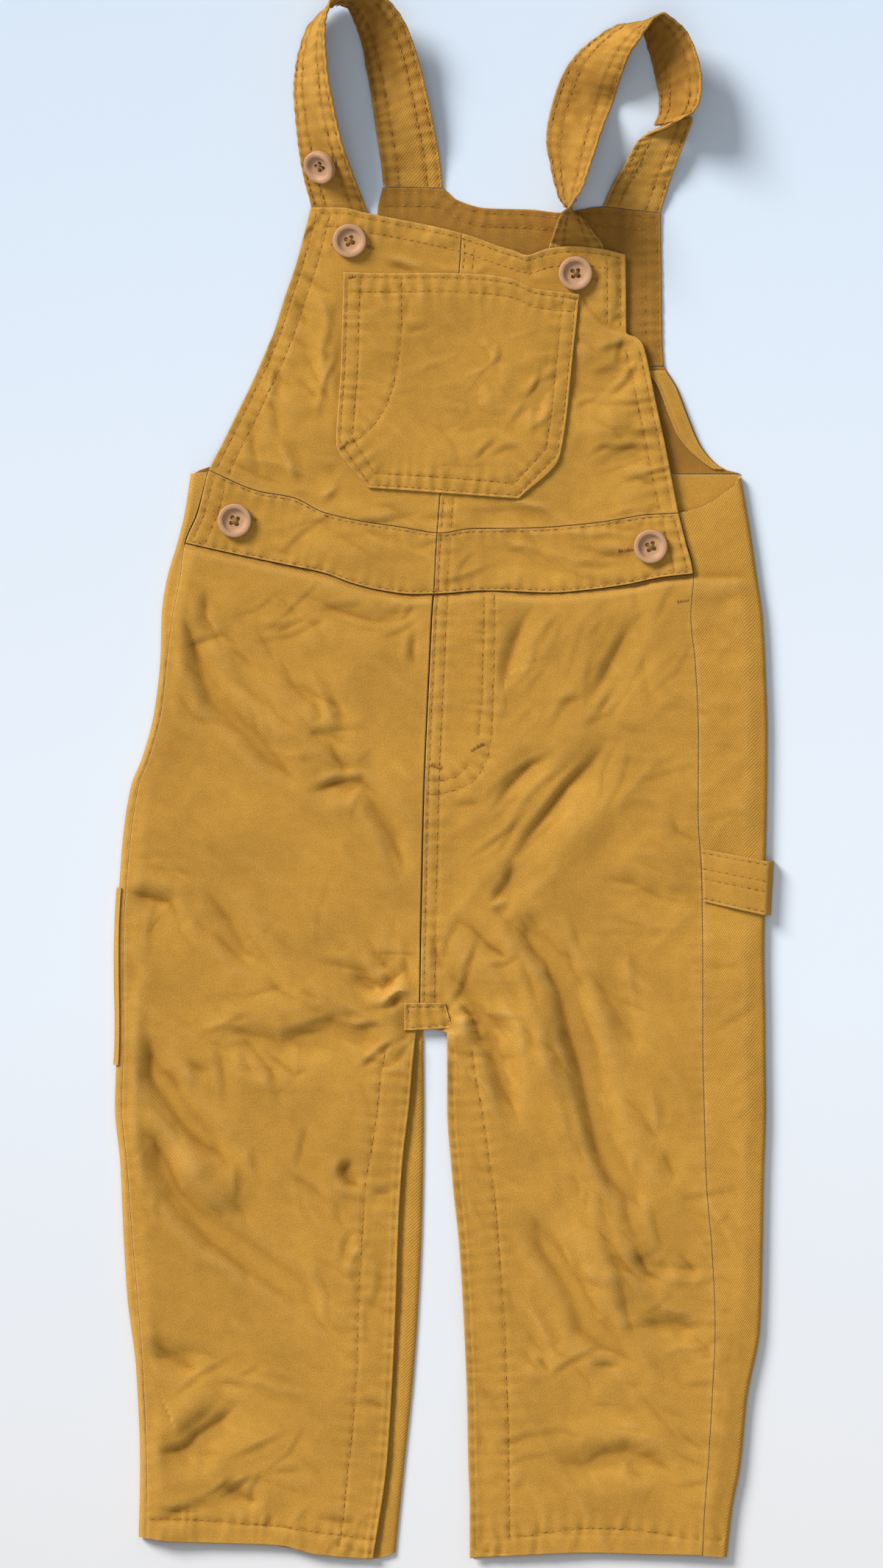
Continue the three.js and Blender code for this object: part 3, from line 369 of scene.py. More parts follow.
# Buttons that lie on the front: place and turn
FRONT_BUTTONS = {
    "button_bib_left": (-49.5, 698.5, 0.35),
    "button_bib_right": (70.2, 681.3, 0.1),
    "button_waist_left": (-110.4, 550.3, -0.2),
    "button_waist_right": (110, 536.6, 0.3),
}
# Places that stay flat under something that lies on them: centre and reach
KEPT_FLAT = [((154, 360), 26), ((-9, 288), 15), ((-172, 310), 12)]
BIB_KEPT_FLAT = [((x, y), 13) for x, y, _ in FRONT_BUTTONS.values()]

# Small creases: centre, reach each way, how many, direction in degrees, stray, height
LEG_SCATTER = [
    ((-100, 470), (38, 36), 16, -55, 22, 0.8), ((-62, 500), (58, 12), 16, 8, 22, 0.6),
    ((-70, 430), (50, 26), 12, -38, 25, 0.6), ((-130, 350), (34, 30), 9, -30, 22, 0.55),
    ((-55, 350), (40, 26), 6, -65, 25, 0.35), ((-70, 290), (55, 22), 16, -12, 22, 0.6),
    ((-30, 290), (20, 34), 16, None, 14, 0.9), ((-120, 220), (36, 50), 16, -58, 16, 0.8),
    ((-75, 170), (34, 50), 12, -48, 18, 0.6), ((-44, 190), (10, 80), 12, -75, 25, 0.5),
    ((-120, 90), (36, 34), 12, -20, 30, 0.6), ((-110, 45), (46, 24), 14, 12, 28, 0.6),
    ((-95, 12), (60, 8), 14, 78, 16, 0.35),
    ((75, 485), (46, 26), 16, 62, 22, 0.6), ((55, 415), (40, 40), 16, 48, 18, 0.75),
    ((112, 420), (24, 60), 12, -12, 20, 0.5), ((115, 360), (24, 30), 8, -14, 16, 0.5),
    ((18, 290), (22, 40), 18, None, 14, 1.0), ((50, 300), (24, 44), 14, -62, 16, 0.8),
    ((90, 270), (34, 46), 12, -58, 20, 0.6), ((85, 200), (32, 40), 14, -60, 20, 0.6),
    ((70, 130), (30, 36), 16, -48, 20, 0.7), ((118, 130), (20, 40), 12, -8, 22, 0.5),
    ((84, 60), (52, 26), 16, -6, 26, 0.6), ((25, 150), (8, 100), 12, -70, 25, 0.4),
    ((75, 12), (56, 8), 14, 80, 16, 0.35), ((150, 460), (14, 70), 12, -8, 20, 0.45),
    ((154, 250), (14, 80), 12, 20, 30, 0.4), ((148, 100), (14, 80), 12, -10, 25, 0.45),
]
BIB_SCATTER = [
    ((-85, 640), (26, 60), 18, -64, 24, 0.5), ((-60, 560), (46, 22), 16, -16, 20, 0.5),
    ((50, 545), (60, 18), 18, -12, 18, 0.5), ((92, 610), (18, 44), 16, 24, 26, 0.55),
    ((10, 692), (34, 8), 10, -12, 18, 0.5), ((82, 680), (12, 22), 8, 70, 20, 0.4),
    ((-60, 705), (14, 10), 6, 80, 22, 0.35), ((0, 535), (120, 12), 20, 12, 30, 0.35),
]
POCKET_SCATTER = [
    ((8, 620), (44, 34), 16, -20, 30, 0.35), ((40, 600), (26, 26), 10, 30, 22, 0.4),
    ((8, 672), (52, 6), 10, 84, 14, 0.3),
]
LIT_FROM = (-0.74, 0.67)

# Straps: low edge (x, y, z) and top edge (x, y) of each section, from the front end to the back one
STRAP_LEFT = [
    (-67.5, 688, 0, -38.5, 688), (-68.5, 704, 0, -39, 702), (-69.8, 716, 0.2, -40.2, 714),
    (-74, 732, 0.6, -46, 730), (-76, 748, 1, -53, 748), (-78, 764, 1.4, -57, 766),
    (-79, 780, 1.8, -60, 781), (-77.5, 794, 2, -61.5, 796), (-72.5, 809, 2.2, -62, 809),
    (-64.5, 819, 2.4, -61.5, 818), (-56.5, 823.5, 2.4, -56.5, 827.5), (-51, 822, 2.2, -46.5, 831),
    (-47.5, 815.5, 1.8, -34.5, 829.5), (-43.6, 804, 1.4, -23.5, 819), (-41, 791, 1, -15.6, 803),
    (-38, 774, 0.7, -10.6, 786), (-35.4, 757, 0.4, -6, 765), (-33, 741, 0.2, -2, 745),
    (-31.6, 727.7, 0, 0, 726.9),
]
STRAP_RIGHT = [
    (86.3, 684, 1.5, 55.5, 683), (85.6, 692, 1.5, 55.4, 691), (84.4, 697.5, 1.5, 56.6, 697),
    (80, 703, 1.6, 58.5, 702), (74.5, 710.5, 1.6, 62.5, 711), (68, 714.5, 1.4, 67, 715.5),
    (62.8, 719, 1.2, 71.5, 722), (58.5, 731, 1, 75.5, 730), (55.8, 744, 1, 79.6, 742),
    (55, 757, 1.2, 84.6, 757), (58.6, 774, 1.4, 90, 771.5), (65, 790, 1.6, 94.4, 785),
    (73.5, 800.5, 1.8, 99, 796.5), (84.5, 809, 2, 104, 804), (96, 813.2, 2.2, 108.5, 811),
    (105, 811, 2.2, 115.5, 817.5), (109, 800, 2, 124, 813.5), (112, 789.5, 1.8, 131.5, 804),
    (114, 780, 1.6, 136.5, 788), (114.4, 771, 1.6, 136, 773.5), (113.5, 764, 1.6, 133, 766.7),
    (111.8, 759.8, 1.7, 130.5, 764.8), (123.5, 762.4, 1.8, 119.4, 759.5), (132, 764, 1.8, 104.5, 752.8),
    (128.6, 752, 1.6, 100.6, 747.6), (124, 740.6, 1.2, 95.9, 738.3), (120.4, 730.4, 0.6, 90.3, 729.4),
    (115.5, 713.8, 0, 84.6, 717.3),
]
STRAP_STITCHES = (2.3, 8.4, STRAP_WIDTH - 8.4, STRAP_WIDTH - 2.3)


# Shape of the cloth

def nearest_on(x, y, points):
    """Distance from a broken line, how far along it that is, and how lit that side is, from -1 to 1."""
    nearest = np.full(np.shape(x), 1e9)
    along, lit = np.zeros(np.shape(x)), np.zeros(np.shape(x))
    run = 0.0
    for (ax, ay), (bx, by) in zip(points, points[1:]):
        dx, dy = bx - ax, by - ay
        length = math.hypot(dx, dy)
        t = np.clip(((x - ax) * dx + (y - ay) * dy) / length**2, 0, 1)
        off_x, off_y = x - ax - t * dx, y - ay - t * dy
        gap = np.hypot(off_x, off_y)
        closer = gap < nearest
        along = np.where(closer, run + t * length, along)
        lit = np.where(closer, np.sign(dx * off_y - dy * off_x), lit)
        nearest = np.minimum(gap, nearest)
        run += length
    dx, dy = points[-1][0] - points[0][0], points[-1][1] - points[0][1]
    facing = (dx * LIT_FROM[1] - dy * LIT_FROM[0]) / math.hypot(dx, dy)
    return nearest, along, lit * facing


def folds_at(x, y, folds):
    """Height of the broad folds, as the part has them."""
    return sum(high * np.exp(-((nearest_on(x, y, points)[0] / wide) ** 2)) for wide, high, points in folds)


def round_section(gap, half, high, lit):
    return high * np.exp(-((gap / half) ** 2))


def shelf_section(gap, half, high, lit):
    """The swell that a trough has on its lit side, so that the slope between them is in shade."""
    swell = np.exp(-(((gap - 1.25 * half) / (0.85 * half)) ** 2)) * step(0, 0.9 * half, gap)
    return 1.1 * max(0, -high) * np.maximum(0, lit) * swell


def sharp_section(gap, half, high, lit):
    """A narrow bottom or top, with a swell of the other sign on both sides of it."""
    keen = np.exp(-(np.sqrt(gap**2 + 0.5) - 0.71) / (0.47 * half))
    return high * (1.1 * keen - 0.5 * np.exp(-(((gap - 1.9 * half) / (1.05 * half)) ** 2)))


def laid_at(x, y, lines, section, lean=0.6):
    """Height of folds or creases that fade at both ends. The side turned from the light is the steeper."""
    x, y = np.broadcast_arrays(np.asarray(x, float), np.asarray(y, float))
    shape, x, y = x.shape, x.ravel(), y.ravel()
    height = np.zeros(x.size)
    for wide, high, points in lines:
        xs, ys = zip(*points)
        reach = 4 * wide
        beside = (x > min(xs) - reach) & (x < max(xs) + reach)
        near = np.nonzero(beside & (y > min(ys) - reach) & (y < max(ys) + reach))[0]
        if not near.size:
            continue
        gap, run, lit = nearest_on(x[near], y[near], points)
        total = sum(math.dist(a, b) for a, b in zip(points, points[1:]))
        end = min(0.42 * total, 30)
        fade = step(0, end, run) * (1 - step(total - end, total, run))
        half = wide * (1 + lean * lit * np.sign(high))
        height[near] += fade * section(gap, half, high, lit)
    return height.reshape(shape)


def scattered(places, seed):
    """Small creases strewn over places: centre, reach, how many, direction in degrees (or none: they point
    at the crotch), how far they stray from it, and height."""
    rng = np.random.default_rng(seed)
    found = []
    for (cx, cy), (wide, tall), count, direction, stray, high in places:
        for _ in range(count):
            x, y = cx + wide * rng.uniform(-1, 1), cy + tall * rng.uniform(-1, 1)
            turn = math.radians(direction) if direction is not None else math.atan2(290 - y, -8 - x)
            turn += math.radians(stray) * rng.normal()
            half = rng.uniform(7, 27)
            dx, dy, bend = math.cos(turn), math.sin(turn), rng.uniform(-0.22, 0.22)
            points = [(x - half * dx, y - half * dy), (x - bend * half * dy, y + bend * half * dx),
                      (x + half * dx, y + half * dy)]
            size = rng.uniform(0.45, 1)
            found.append((1.6 + 2.6 * size, (-1 if rng.uniform() < 0.7 else 1) * high * size, points))
    return found


def unevenness(x, y, size, seed):
    """Smooth random bumps of about one size in millimetres, from -1 to 1."""
    field = np.random.default_rng(seed).uniform(-1, 1, (97, 97))
    gx, gy = np.asarray(x) / size + 500, np.asarray(y) / size + 500
    ix, iy = np.floor(gx).astype(int), np.floor(gy).astype(int)
    fx, fy = gx - ix, gy - iy
    fx, fy = fx**3 * (fx * (6 * fx - 15) + 10), fy**3 * (fy * (6 * fy - 15) + 10)
    corner = lambda i, j: field[(ix + i) % 97, (iy + j) % 97]
    return mix(mix(corner(0, 0), corner(1, 0), fx), mix(corner(0, 1), corner(1, 1), fx), fy)


def crumpled(x, y, turn, seed, long=2.4, size=17):
    """Small ridges and hollows, drawn out along one direction."""
    along = (x * math.cos(turn) + y * math.sin(turn)) / long
    across = -x * math.sin(turn) + y * math.cos(turn)
    bend = 7 * unevenness(along, across, 34, seed + 1)
    ridge = 1 - 2 * np.abs(unevenness(along, across + bend, size, seed))
    fine = unevenness(along, across + bend, size / 2.6, seed + 2)
    return 0.62 * ridge + 0.25 * fine


def stitched(x, y, rows, deep=FURROW, pucker=PUCKER):
    """Furrow that each row of stitches pulls, with small puckers beside it."""
    height = 0
    for number, points in enumerate(rows):
        gap, run, _ = nearest_on(x, y, points)
        phase = 2.6 * unevenness(run, run * 0, 13, 40 + number)
        ripple = np.sin(run * 2 * math.pi / PUCKER_GAP + phase)
        furrow = deep * np.exp(-((gap / FURROW_WIDE) ** 2))
        height = height - furrow + pucker * ripple * np.exp(-gap / 4.2)
    return height


def rest_on(lowest, z, soft=0.5):
    """Keeps a height just above a lowest one, without a sharp corner."""
    above = (z - lowest) / soft
    return lowest + soft * np.where(above > 20, above, np.log1p(np.exp(np.minimum(above, 20))))


def kept_flat(x, y, places):
    """1 where the cloth may crease, 0 under the things that lie on it."""
    free = 1
    for (cx, cy), reach in places:
        free = free * (1 - np.exp(-((np.hypot(x - cx, y - cy) / reach) ** 4)))
    return free


def leg_parts(x, y):
    """Distances from the side fold and the inner edge of the leg that a point is on."""
    left = x < LEFT_LEG.front(y) + 0.1
    from_edge = np.abs(x - np.where(left, LEFT_LEG.edge(y), RIGHT_LEG.edge(y)))
    from_inside = np.abs(x - np.where(left, LEFT_LEG.front(y), RIGHT_LEG.front(y)))
    return from_edge, from_inside


def leg_plain(x, y):
    """The part's own height of the front layer, before it rests on the back one."""
    from_edge, from_inside = leg_parts(x, y)
    side_fold = (SIDE_FOLD_HEIGHT - LEG_REST_HEIGHT) * np.exp(-((from_edge / SIDE_FOLD_REACH) ** 2))
    leg_part = 1 - step(CROTCH_LEVEL - 8, CROTCH_LEVEL + 12, y)
    drop = INSIDE_LEG_DROP * leg_part * np.exp(-((from_inside / INSIDE_LEG_REACH) ** 2))
    return LEG_REST_HEIGHT + side_fold - drop + folds_at(x, y, LEG_FOLDS) * step(2, 16, from_edge)


def leg_solid(x, y):
    return rest_on(FRONT_LOWEST, leg_plain(x, y))


def leg_face(x, y, rows=()):
    """Outer face of the legs and seat as it shows."""
    from_edge, from_inside = leg_parts(x, y)
    unlaid = leg_plain(x, y)
    free = kept_flat(x, y, KEPT_FLAT)
    more = sum(extra * np.exp(-((np.hypot(x - cx, y - cy) / reach) ** 2))
               for (cx, cy), reach, extra in CRUMPLED)
    right = step(-14, 6, x)
    upper = step(300, 350, y)
    small = crumpled(x, y, -0.62, 1) * (1 - right)
    small = small + right * (crumpled(x, y, 0.8, 11) * upper + crumpled(x, y, -1.05, 21) * (1 - upper))
    calm = 1 - 0.35 * right * upper
    detail = laid_at(x, y, LEG_CREASES, sharp_section) * LEG_CREASES_SHOW * calm
    detail = detail + LEG_SMALL_SHOW * calm * laid_at(x, y, LEG_CREASES_SMALL, sharp_section)
    detail = detail + small * (0.42 + 0.55 * more)
    detail = detail + 1.3 + 0.6 * unevenness(x, y, 48, 5)
    laid = laid_at(x, y, LEG_FOLDS, round_section, 0.25)
    laid = laid + calm**2 * laid_at(x, y, LEG_FOLDS, shelf_section, 0)
    detail = detail + laid * (1.3 - 0.4 * upper) - folds_at(x, y, LEG_FOLDS)
    room = step(1.5, 12, from_edge) * free * step(0, 5, WAIST_SEAM(x) - y)
    sewn = stitched(x, y, rows) + stitched(x, y, SIDE_SEAMS, 0, SIDE_SEAM_PUCKER)
    return rest_on(SHOWN_LOWEST, unlaid + detail * room + sewn, 0.35)


SIDE_SEAMS = [[(float(RIGHT_LEG.seam(y)), float(y)) for y in range(20, 530, 30)],
              [(float(LEFT_LEG.seam(y)), float(y)) for y in range(20, 560, 30)]]
LEG_CREASES_SMALL = scattered(LEG_SCATTER, 3)
BIB_CREASES_SMALL = scattered(BIB_SCATTER, 4)
POCKET_CREASES_SMALL = scattered(POCKET_SCATTER, 6)
BIB_LEFT_EDGE = line([(539, 5.4), (577, 4.6), (600, 2.4), (640, 2), (716, 3.4)])
BIB_MIDDLE = line([(512, 3.9), (577, 4), (640, 4.4), (690, 4.6), (716, 4.8)])
BIB_RIGHT_EDGE = line([(522, 5.9), (554, 5.8), (577, 5.2), (640, 5), (700, 5.6)])


def under_bib(x, y):
    """Top of the strap end that lies beneath each upper corner of the bib."""
    left = step(-76, -68, x) * (1 - step(-38, -30, x)) * step(676, 684, y)
    right = step(40, 52, x) * (1 - step(88, 98, x)) * step(672, 680, y)
    return np.maximum(left * STRAP_THICK, right * (BACK_TOP + LAYER + STRAP_THICK))


def bib_solid(x, y, detail=0.0):
    """Outer face of the front bib and waistband, as the part has it when there is no detail."""
    part = np.clip((x - BIB.left(y)) / (BIB.right(y) - BIB.left(y)), 0, 1)
    left_edge = 1 - step(0, 0.16, part)
    right_edge = step(0.8, 1, part)
    height = (BIB_MIDDLE(y) * (1 - left_edge - right_edge)
              + BIB_LEFT_EDGE(y) * left_edge + BIB_RIGHT_EDGE(y) * right_edge)
    height = height + folds_at(x, y, BIB_FOLDS) * step(0, 0.1, part) * (1 - step(0.93, 1, part))
    tucked = step(66, 74, x) * step(-TUCK_RUN / 2, TUCK_RUN / 2, y - TUCK(x))
    height = height - np.where(x > 66, TUCK_DEEP * 0.6 * tucked, 0)
    lowest = mix(WALL + LAYER, FRONT_LOWEST + LAYER, step(0.02, 0.2, part))
    return rest_on(np.maximum(lowest, under_bib(x, y) + LAYER + WALL), height + detail)


def pocket_cover(x, y):
    """1 on the bib where the pocket lies, fading out around it."""
    left = step(-60, -54, x)
    right = 1 - step(66, 72, x)
    return left * right * step(558, 566, y) * (1 - step(672, 684, y))


def bib_face(x, y, rows=()):
    """Outer face of the bib as it shows."""
    detail = laid_at(x, y, BIB_FOLDS, shelf_section, 0) * BIB_FOLDS_SHOW + 0.7 * unevenness(x, y, 38, 33)
    detail = detail + laid_at(x, y, BIB_CREASES, sharp_section) * BIB_CREASES_SHOW
    detail = detail + 0.5 * crumpled(x, y, 0.15, 31, size=14) + 0.3
    detail = detail + SMALL_SHOW * laid_at(x, y, BIB_CREASES_SMALL, sharp_section)
    detail = detail * (1 - pocket_cover(x, y)) * kept_flat(x, y, BIB_KEPT_FLAT)
    return bib_solid(x, y, detail + stitched(x, y, rows))


def waistband_face(x, y, rows=()):
    return bib_face(x, y, rows) + WAISTBAND_LIFT


def pocket_face(x, y, part_across, part_along, rows=()):
    """Outer face of the bib pocket: it spans the hollows of the bib beneath it."""
    mouth = POCKET_LIFT * np.sin(math.pi * part_across) * step(0.6, 1, part_along)
    bridge = np.maximum(0, -0.5 * folds_at(x, y, BIB_FOLDS))
    detail = 0.9 * unevenness(x, y, 34, 53)
    detail = detail + POCKET_CREASES_SHOW * laid_at(x, y, POCKET_CREASES, sharp_section)
    detail = detail + 0.5 * crumpled(x, y, 0.3, 51, size=14)
    detail = detail + SMALL_SHOW * laid_at(x, y, POCKET_CREASES_SMALL, sharp_section)
    from_side = np.minimum(part_across, 1 - part_across)
    from_end = np.minimum(part_along, 1 - part_along)
    edge = np.minimum(from_side * 9, from_end * 9)
    detail = np.maximum(-0.25, 0.3 + detail * step(0.2, 1, edge))
    return bib_solid(x, y) + LAYER + WALL + mouth + bridge + detail + stitched(x, y, rows)


# Making pieces

def clear_selection():
    bpy.ops.object.select_all(action="DESELECT")


def in_frame(points):
    """Garment millimetres to metres in the frame."""
    return (np.asarray(points, float) + MOVED) * MM


def blurred(grid, passes):
    """A grid of heights with its small shapes smoothed away."""
    for _ in range(passes):
        wide = np.pad(grid, 1, mode="edge")
        grid = (wide[:-2, 1:-1] + wide[2:, 1:-1] + wide[1:-1, :-2] + wide[1:-1, 2:] + 2 * grid) / 6
    return grid


def parts(length, cell, fine=(0.2, 0.5, 1.0, 1.8)):
    """Parts of a length from 0 to 1, with finer cells at both ends."""
    fine = np.array(fine) / length
    count = max(2, round((length * (1 - 2 * fine[-1])) / cell))
    middle = np.linspace(fine[-1], 1 - fine[-1], count + 1)
    return np.concatenate(([0.0], fine[:-1], middle, 1 - fine[-2::-1], [1.0]))


def edge_distance(grid):
    """Distance of each point of a grid from the nearest side of it."""
    across = np.linalg.norm(np.diff(grid, axis=1), axis=2)
    along = np.linalg.norm(np.diff(grid, axis=0), axis=2)
    zero_column = np.zeros((grid.shape[0], 1))
    zero_row = np.zeros((1, grid.shape[1]))
    left = np.concatenate((zero_column, np.cumsum(across, axis=1)), axis=1)
    low = np.concatenate((zero_row, np.cumsum(along, axis=0)), axis=0)
    return np.minimum(np.minimum(left, left[:, -1:] - left), np.minimum(low, low[-1:] - low))


def start_grid(name, columns, rows):
    """Adds a flat grid of cells as the active piece."""
    clear_selection()
    bpy.ops.mesh.primitive_grid_add(x_subdivisions=columns, y_subdivisions=rows, size=2)
    piece = bpy.context.active_object
    piece.name = piece.data.name = name
    return piece


def grid_points(mesh, columns, rows):
    """Places of a grid's points, and the number of each when they are counted row by row."""
    at = np.empty(3 * len(mesh.vertices))
    mesh.vertices.foreach_get("co", at)
    at = at.reshape(-1, 3)
    i = np.rint((at[:, 0] + 1) / 2 * columns).astype(int)
    j = np.rint((at[:, 1] + 1) / 2 * rows).astype(int)
    return at, j * (columns + 1) + i


def store(mesh, name, values):
    """Keeps one number for each point of a mesh, for its material."""
    mesh.attributes.new(name, "FLOAT", "POINT").data.foreach_set("value", values.astype(np.float32))


def set_cloth(piece, order, flat, painted_shade_and_rub, wear):
    """Gives a piece its flat cloth coordinates in millimetres, its painted shade and highlight, and where it
    is rubbed.
    """
    mesh = piece.data
    corners = np.empty(len(mesh.loops), np.int32)
    mesh.loops.foreach_get("vertex_index", corners)
    layer = mesh.uv_layers.active or mesh.uv_layers.new(name="cloth")
    layer.name = "cloth"
    layer.data.foreach_set("uv", flat[order][corners].astype(np.float32).ravel())
    store(mesh, "painted_shade_and_rub", painted_shade_and_rub[order])
    store(mesh, "wear", wear[order])


def cloth_piece(name, across, along, outer, inner=None, thick=CLOTH, roll=0.5, flat=None):
    """A closed piece of cloth between two faces, which are functions of the parts across and along. Without
    an inner face it lies one thickness below the outer one."""
    columns, rows = len(across) - 1, len(along) - 1
    piece = start_grid(name, columns, rows)
    bpy.ops.object.mode_set(mode="EDIT")
    bpy.ops.mesh.select_all(action="SELECT")
    bpy.ops.mesh.extrude_region()
    bpy.ops.object.mode_set(mode="OBJECT")
    mesh = piece.data
    at, order = grid_points(mesh, columns, rows)
    count = (columns + 1) * (rows + 1)
    if len(at) != 2 * count:
        raise RuntimeError(f"{name}: the grid has {len(at)} points and not {2 * count}")
    u, v = (g.ravel() for g in np.meshgrid(across, along))
    face = np.stack(outer(u, v), axis=1).astype(float)
    back = np.stack(inner(u, v), axis=1).astype(float) if inner else face - (0, 0, thick)
    grid = face.reshape(rows + 1, columns + 1, 3)
    from_edge = edge_distance(grid).ravel()
    lip = np.maximum(0, roll - from_edge)
    face[:, 2] -= roll - np.sqrt(np.maximum(0, roll**2 - lip**2)) if roll else 0
    # Painted shade and highlight: places below their blurred surroundings are painted darker, as shade, and
    # places above them paler, partly as painted highlight and partly as rubbing
    height = grid[:, :, 2]
    relief = (blurred(height, WIDE_BLUR) - height) / WIDE_DEPTH
    relief = relief + (blurred(height, CLOSE_BLUR) - height) / CLOSE_DEPTH
    painted_shade_and_rub = np.clip(relief.ravel(), -1, 1)
    wear = np.exp(-from_edge / WORN_REACH)
    at[:count] = in_frame(face[order[:count]])
    at[count:] = in_frame(back[order[count:]])
    mesh.vertices.foreach_set("co", at.ravel())
    set_cloth(piece, order, face[:, :2] if flat is None else np.stack(flat(u, v), axis=1), painted_shade_and_rub, wear)
    finish_mesh(piece)
    return piece


def finish_mesh(piece, angle=50):
    """Turns all faces outwards and shades the piece smooth up to an angle."""
    bpy.context.view_layer.objects.active = piece
    piece.select_set(True)
    bpy.ops.object.mode_set(mode="EDIT")
    bpy.ops.mesh.select_all(action="SELECT")
    bpy.ops.mesh.normals_make_consistent(inside=False)
    bpy.ops.object.mode_set(mode="OBJECT")
    bpy.ops.object.shade_smooth_by_angle(angle=math.radians(angle))
    piece.select_set(False)


def dress(piece, material, slot, *replaced):
    """Gives a finished piece its material, and lets it stand for its solids. The slot is not used."""
    piece.data.materials.clear()
    piece.data.materials.append(material)
    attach(piece, "root")
    if replaced:
        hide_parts(*replaced)
    return piece


def plate_piece(name, across, along, place, face, thick=CLOTH, roll=0.5):
    """A piece of cloth that lies over others: its outer face at a height, its inner face below it."""

    def outer(u, v):
        x, y = place(u, v)
        return x, y, face(x, y, u, v)

    return cloth_piece(name, across, along, outer, None, thick, roll)


def settle(u, v, x_at, low, high, start):
    """Finds the point of a panel whose sides and ends are curved, by going round a few times."""
    y = start + 0 * u
    x = 0 * u
    for _ in range(6):
        x = x_at(u, y)
        y = mix(low(x), high(x), v)
    return x, y


# Rows of stitches, in garment millimetres

def rows_beside(edge, offset, low, high, gap=6.0):
    """Points at an offset across from an edge that is read by height."""
    ys = np.arange(low, high + 0.01, (high - low) / max(2, round((high - low) / gap)))
    return [(float(edge(y) + offset), float(y)) for y in ys]


def rows_below(edge, offset, left, right, gap=6.0):
    """Points at an offset below an edge that is read by place across."""
    xs = np.arange(left, right + 0.01, (right - left) / max(2, round((right - left) / gap)))
    return [(float(x), float(edge(x) - offset)) for x in xs]


LEFT_LEG_ROWS = [
    rows_beside(LEFT_LEG.front, -2.4, 3, 268),
    [(-30.8, 268.7), (-33.1, 259), (-34.7, 241.4), (-36.7, 225.8), (-38.6, 214.1), (-41, 202.4),
     (-42.1, 186.8), (-43.7, 163.4), (-44.5, 143.9), (-45.2, 124.4), (-45.6, 104.9), (-46.8, 85.4),
     (-48.4, 65.9), (-50.7, 46.4), (-53, 23), (-55.4, 5.5)],
    [(-155.5, 21.8), (-133.4, 21.4), (-117.8, 20.3), (-102.2, 19.1), (-86.6, 17.9), (-78.8, 16.4),
     (-63.2, 14.4), (-47.6, 12.1), (-36.5, 11)],
    [(-56.5, 8.2), (-38.3, 3.2)],
]
RIGHT_LEG_ROWS = [
    rows_beside(RIGHT_LEG.front, 1.9, 284, 510),
    rows_beside(RIGHT_LEG.front, 7.4, 286, 510),
    [(21.4, 511.3), (21.4, 494.9), (20.7, 475.4), (20.3, 455.9), (18.7, 436.4)],
    [(12.9, 420.8), (7, 415), (-0.8, 413), (-6.6, 412.2)],
    [(26.9, 511.6), (27.3, 494.9), (26.9, 475.4), (26.1, 455.9), (25.4, 436.4), (23.4, 424.7),
     (19.5, 416.9), (14.8, 411.8), (7, 407.9), (-0.8, 406), (-7.4, 405.2)],
    rows_beside(RIGHT_LEG.front, 3.1, 3, 270),
    [(14.8, 270.7), (16.8, 257), (20.7, 237.5), (22.6, 221.9), (25.7, 202.4), (27.7, 186.8),
     (29.2, 167.3), (30.8, 147.8), (32.4, 124.4), (33.1, 104.9), (33.9, 85.4), (34.7, 46.4), (35.1, 11.3)],
    [(16, 10.5), (34.3, 11.3), (42.1, 12.1), (53.8, 14.4), (65.5, 16), (77.2, 16.8), (92.8, 16.4),
     (104.5, 15.6), (116.2, 14), (124, 12.1), (135.6, 10.9)],
    [(18, 5.2), (35, 3.4)],
]
RIGHT_STRIP_ROWS = [[(139.6, 10.9), (151, 10.9)]]
WAISTBAND_ROWS = [
    rows_below(WAIST_SEAM, -1.6, -134, 130),
    rows_below(BIB_SEAM, 1.4, -121, 122),
    rows_beside(BIB.left, 3.4, 541, 572),
    rows_beside(BIB.left, 10.4, 538, 568),
    rows_beside(BIB.right, -3.2, 525, 550),
    rows_beside(BIB.right, -10.2, 524, 550),
]
WAISTBAND_CENTRE_ROWS = [rows_beside(BIB.centre, 1.8, 513, 543), rows_beside(BIB.centre, 6.8, 514, 543)]
BIB_ROWS = [
    rows_beside(BIB.left, 3.5, 579, 714),
    rows_beside(BIB.left, 11, 575, 712),
    rows_beside(BIB.right, -3.2, 557, 641),
    rows_beside(BIB.right, -10.2, 556, 640),
    rows_beside(BIB.right, -3.2, 653, 689),
    rows_beside(BIB.right, -10.2, 655, 689),
    rows_below(BIB_TOP, 2.7, -66, 93),
    rows_below(BIB_TOP, 9.8, -62, 88),
]
BIB_CENTRE_ROWS = [
    rows_beside(BIB.centre, 1.8, 547, 562),
    rows_beside(BIB.centre, 6.8, 547, 562),
    rows_beside(BIB.centre, 1.8, 683, 698),
    rows_beside(BIB.centre, 6.8, 683, 696),
]
BACK_BIB_ROWS = [
    rows_below(BACK_BIB_TOP, 2.6, -31, 112),
    rows_below(BACK_BIB_TOP, 9.6, -30, 106),
    rows_beside(BACK_BIB.right, -2.2, 634, 711),
    rows_beside(BACK_BIB.right, -8.8, 634, 705),
]


def pocket_point(u, v):
    """A point of the pocket from its parts across and along."""
    x = mix(POCKET.left(v), POCKET.right(v), u)
    y = mix(POCKET.left_y(v), POCKET.right_y(v), u) + POCKET_BOW(u) * step(0.55, 1, v)
    return x, y


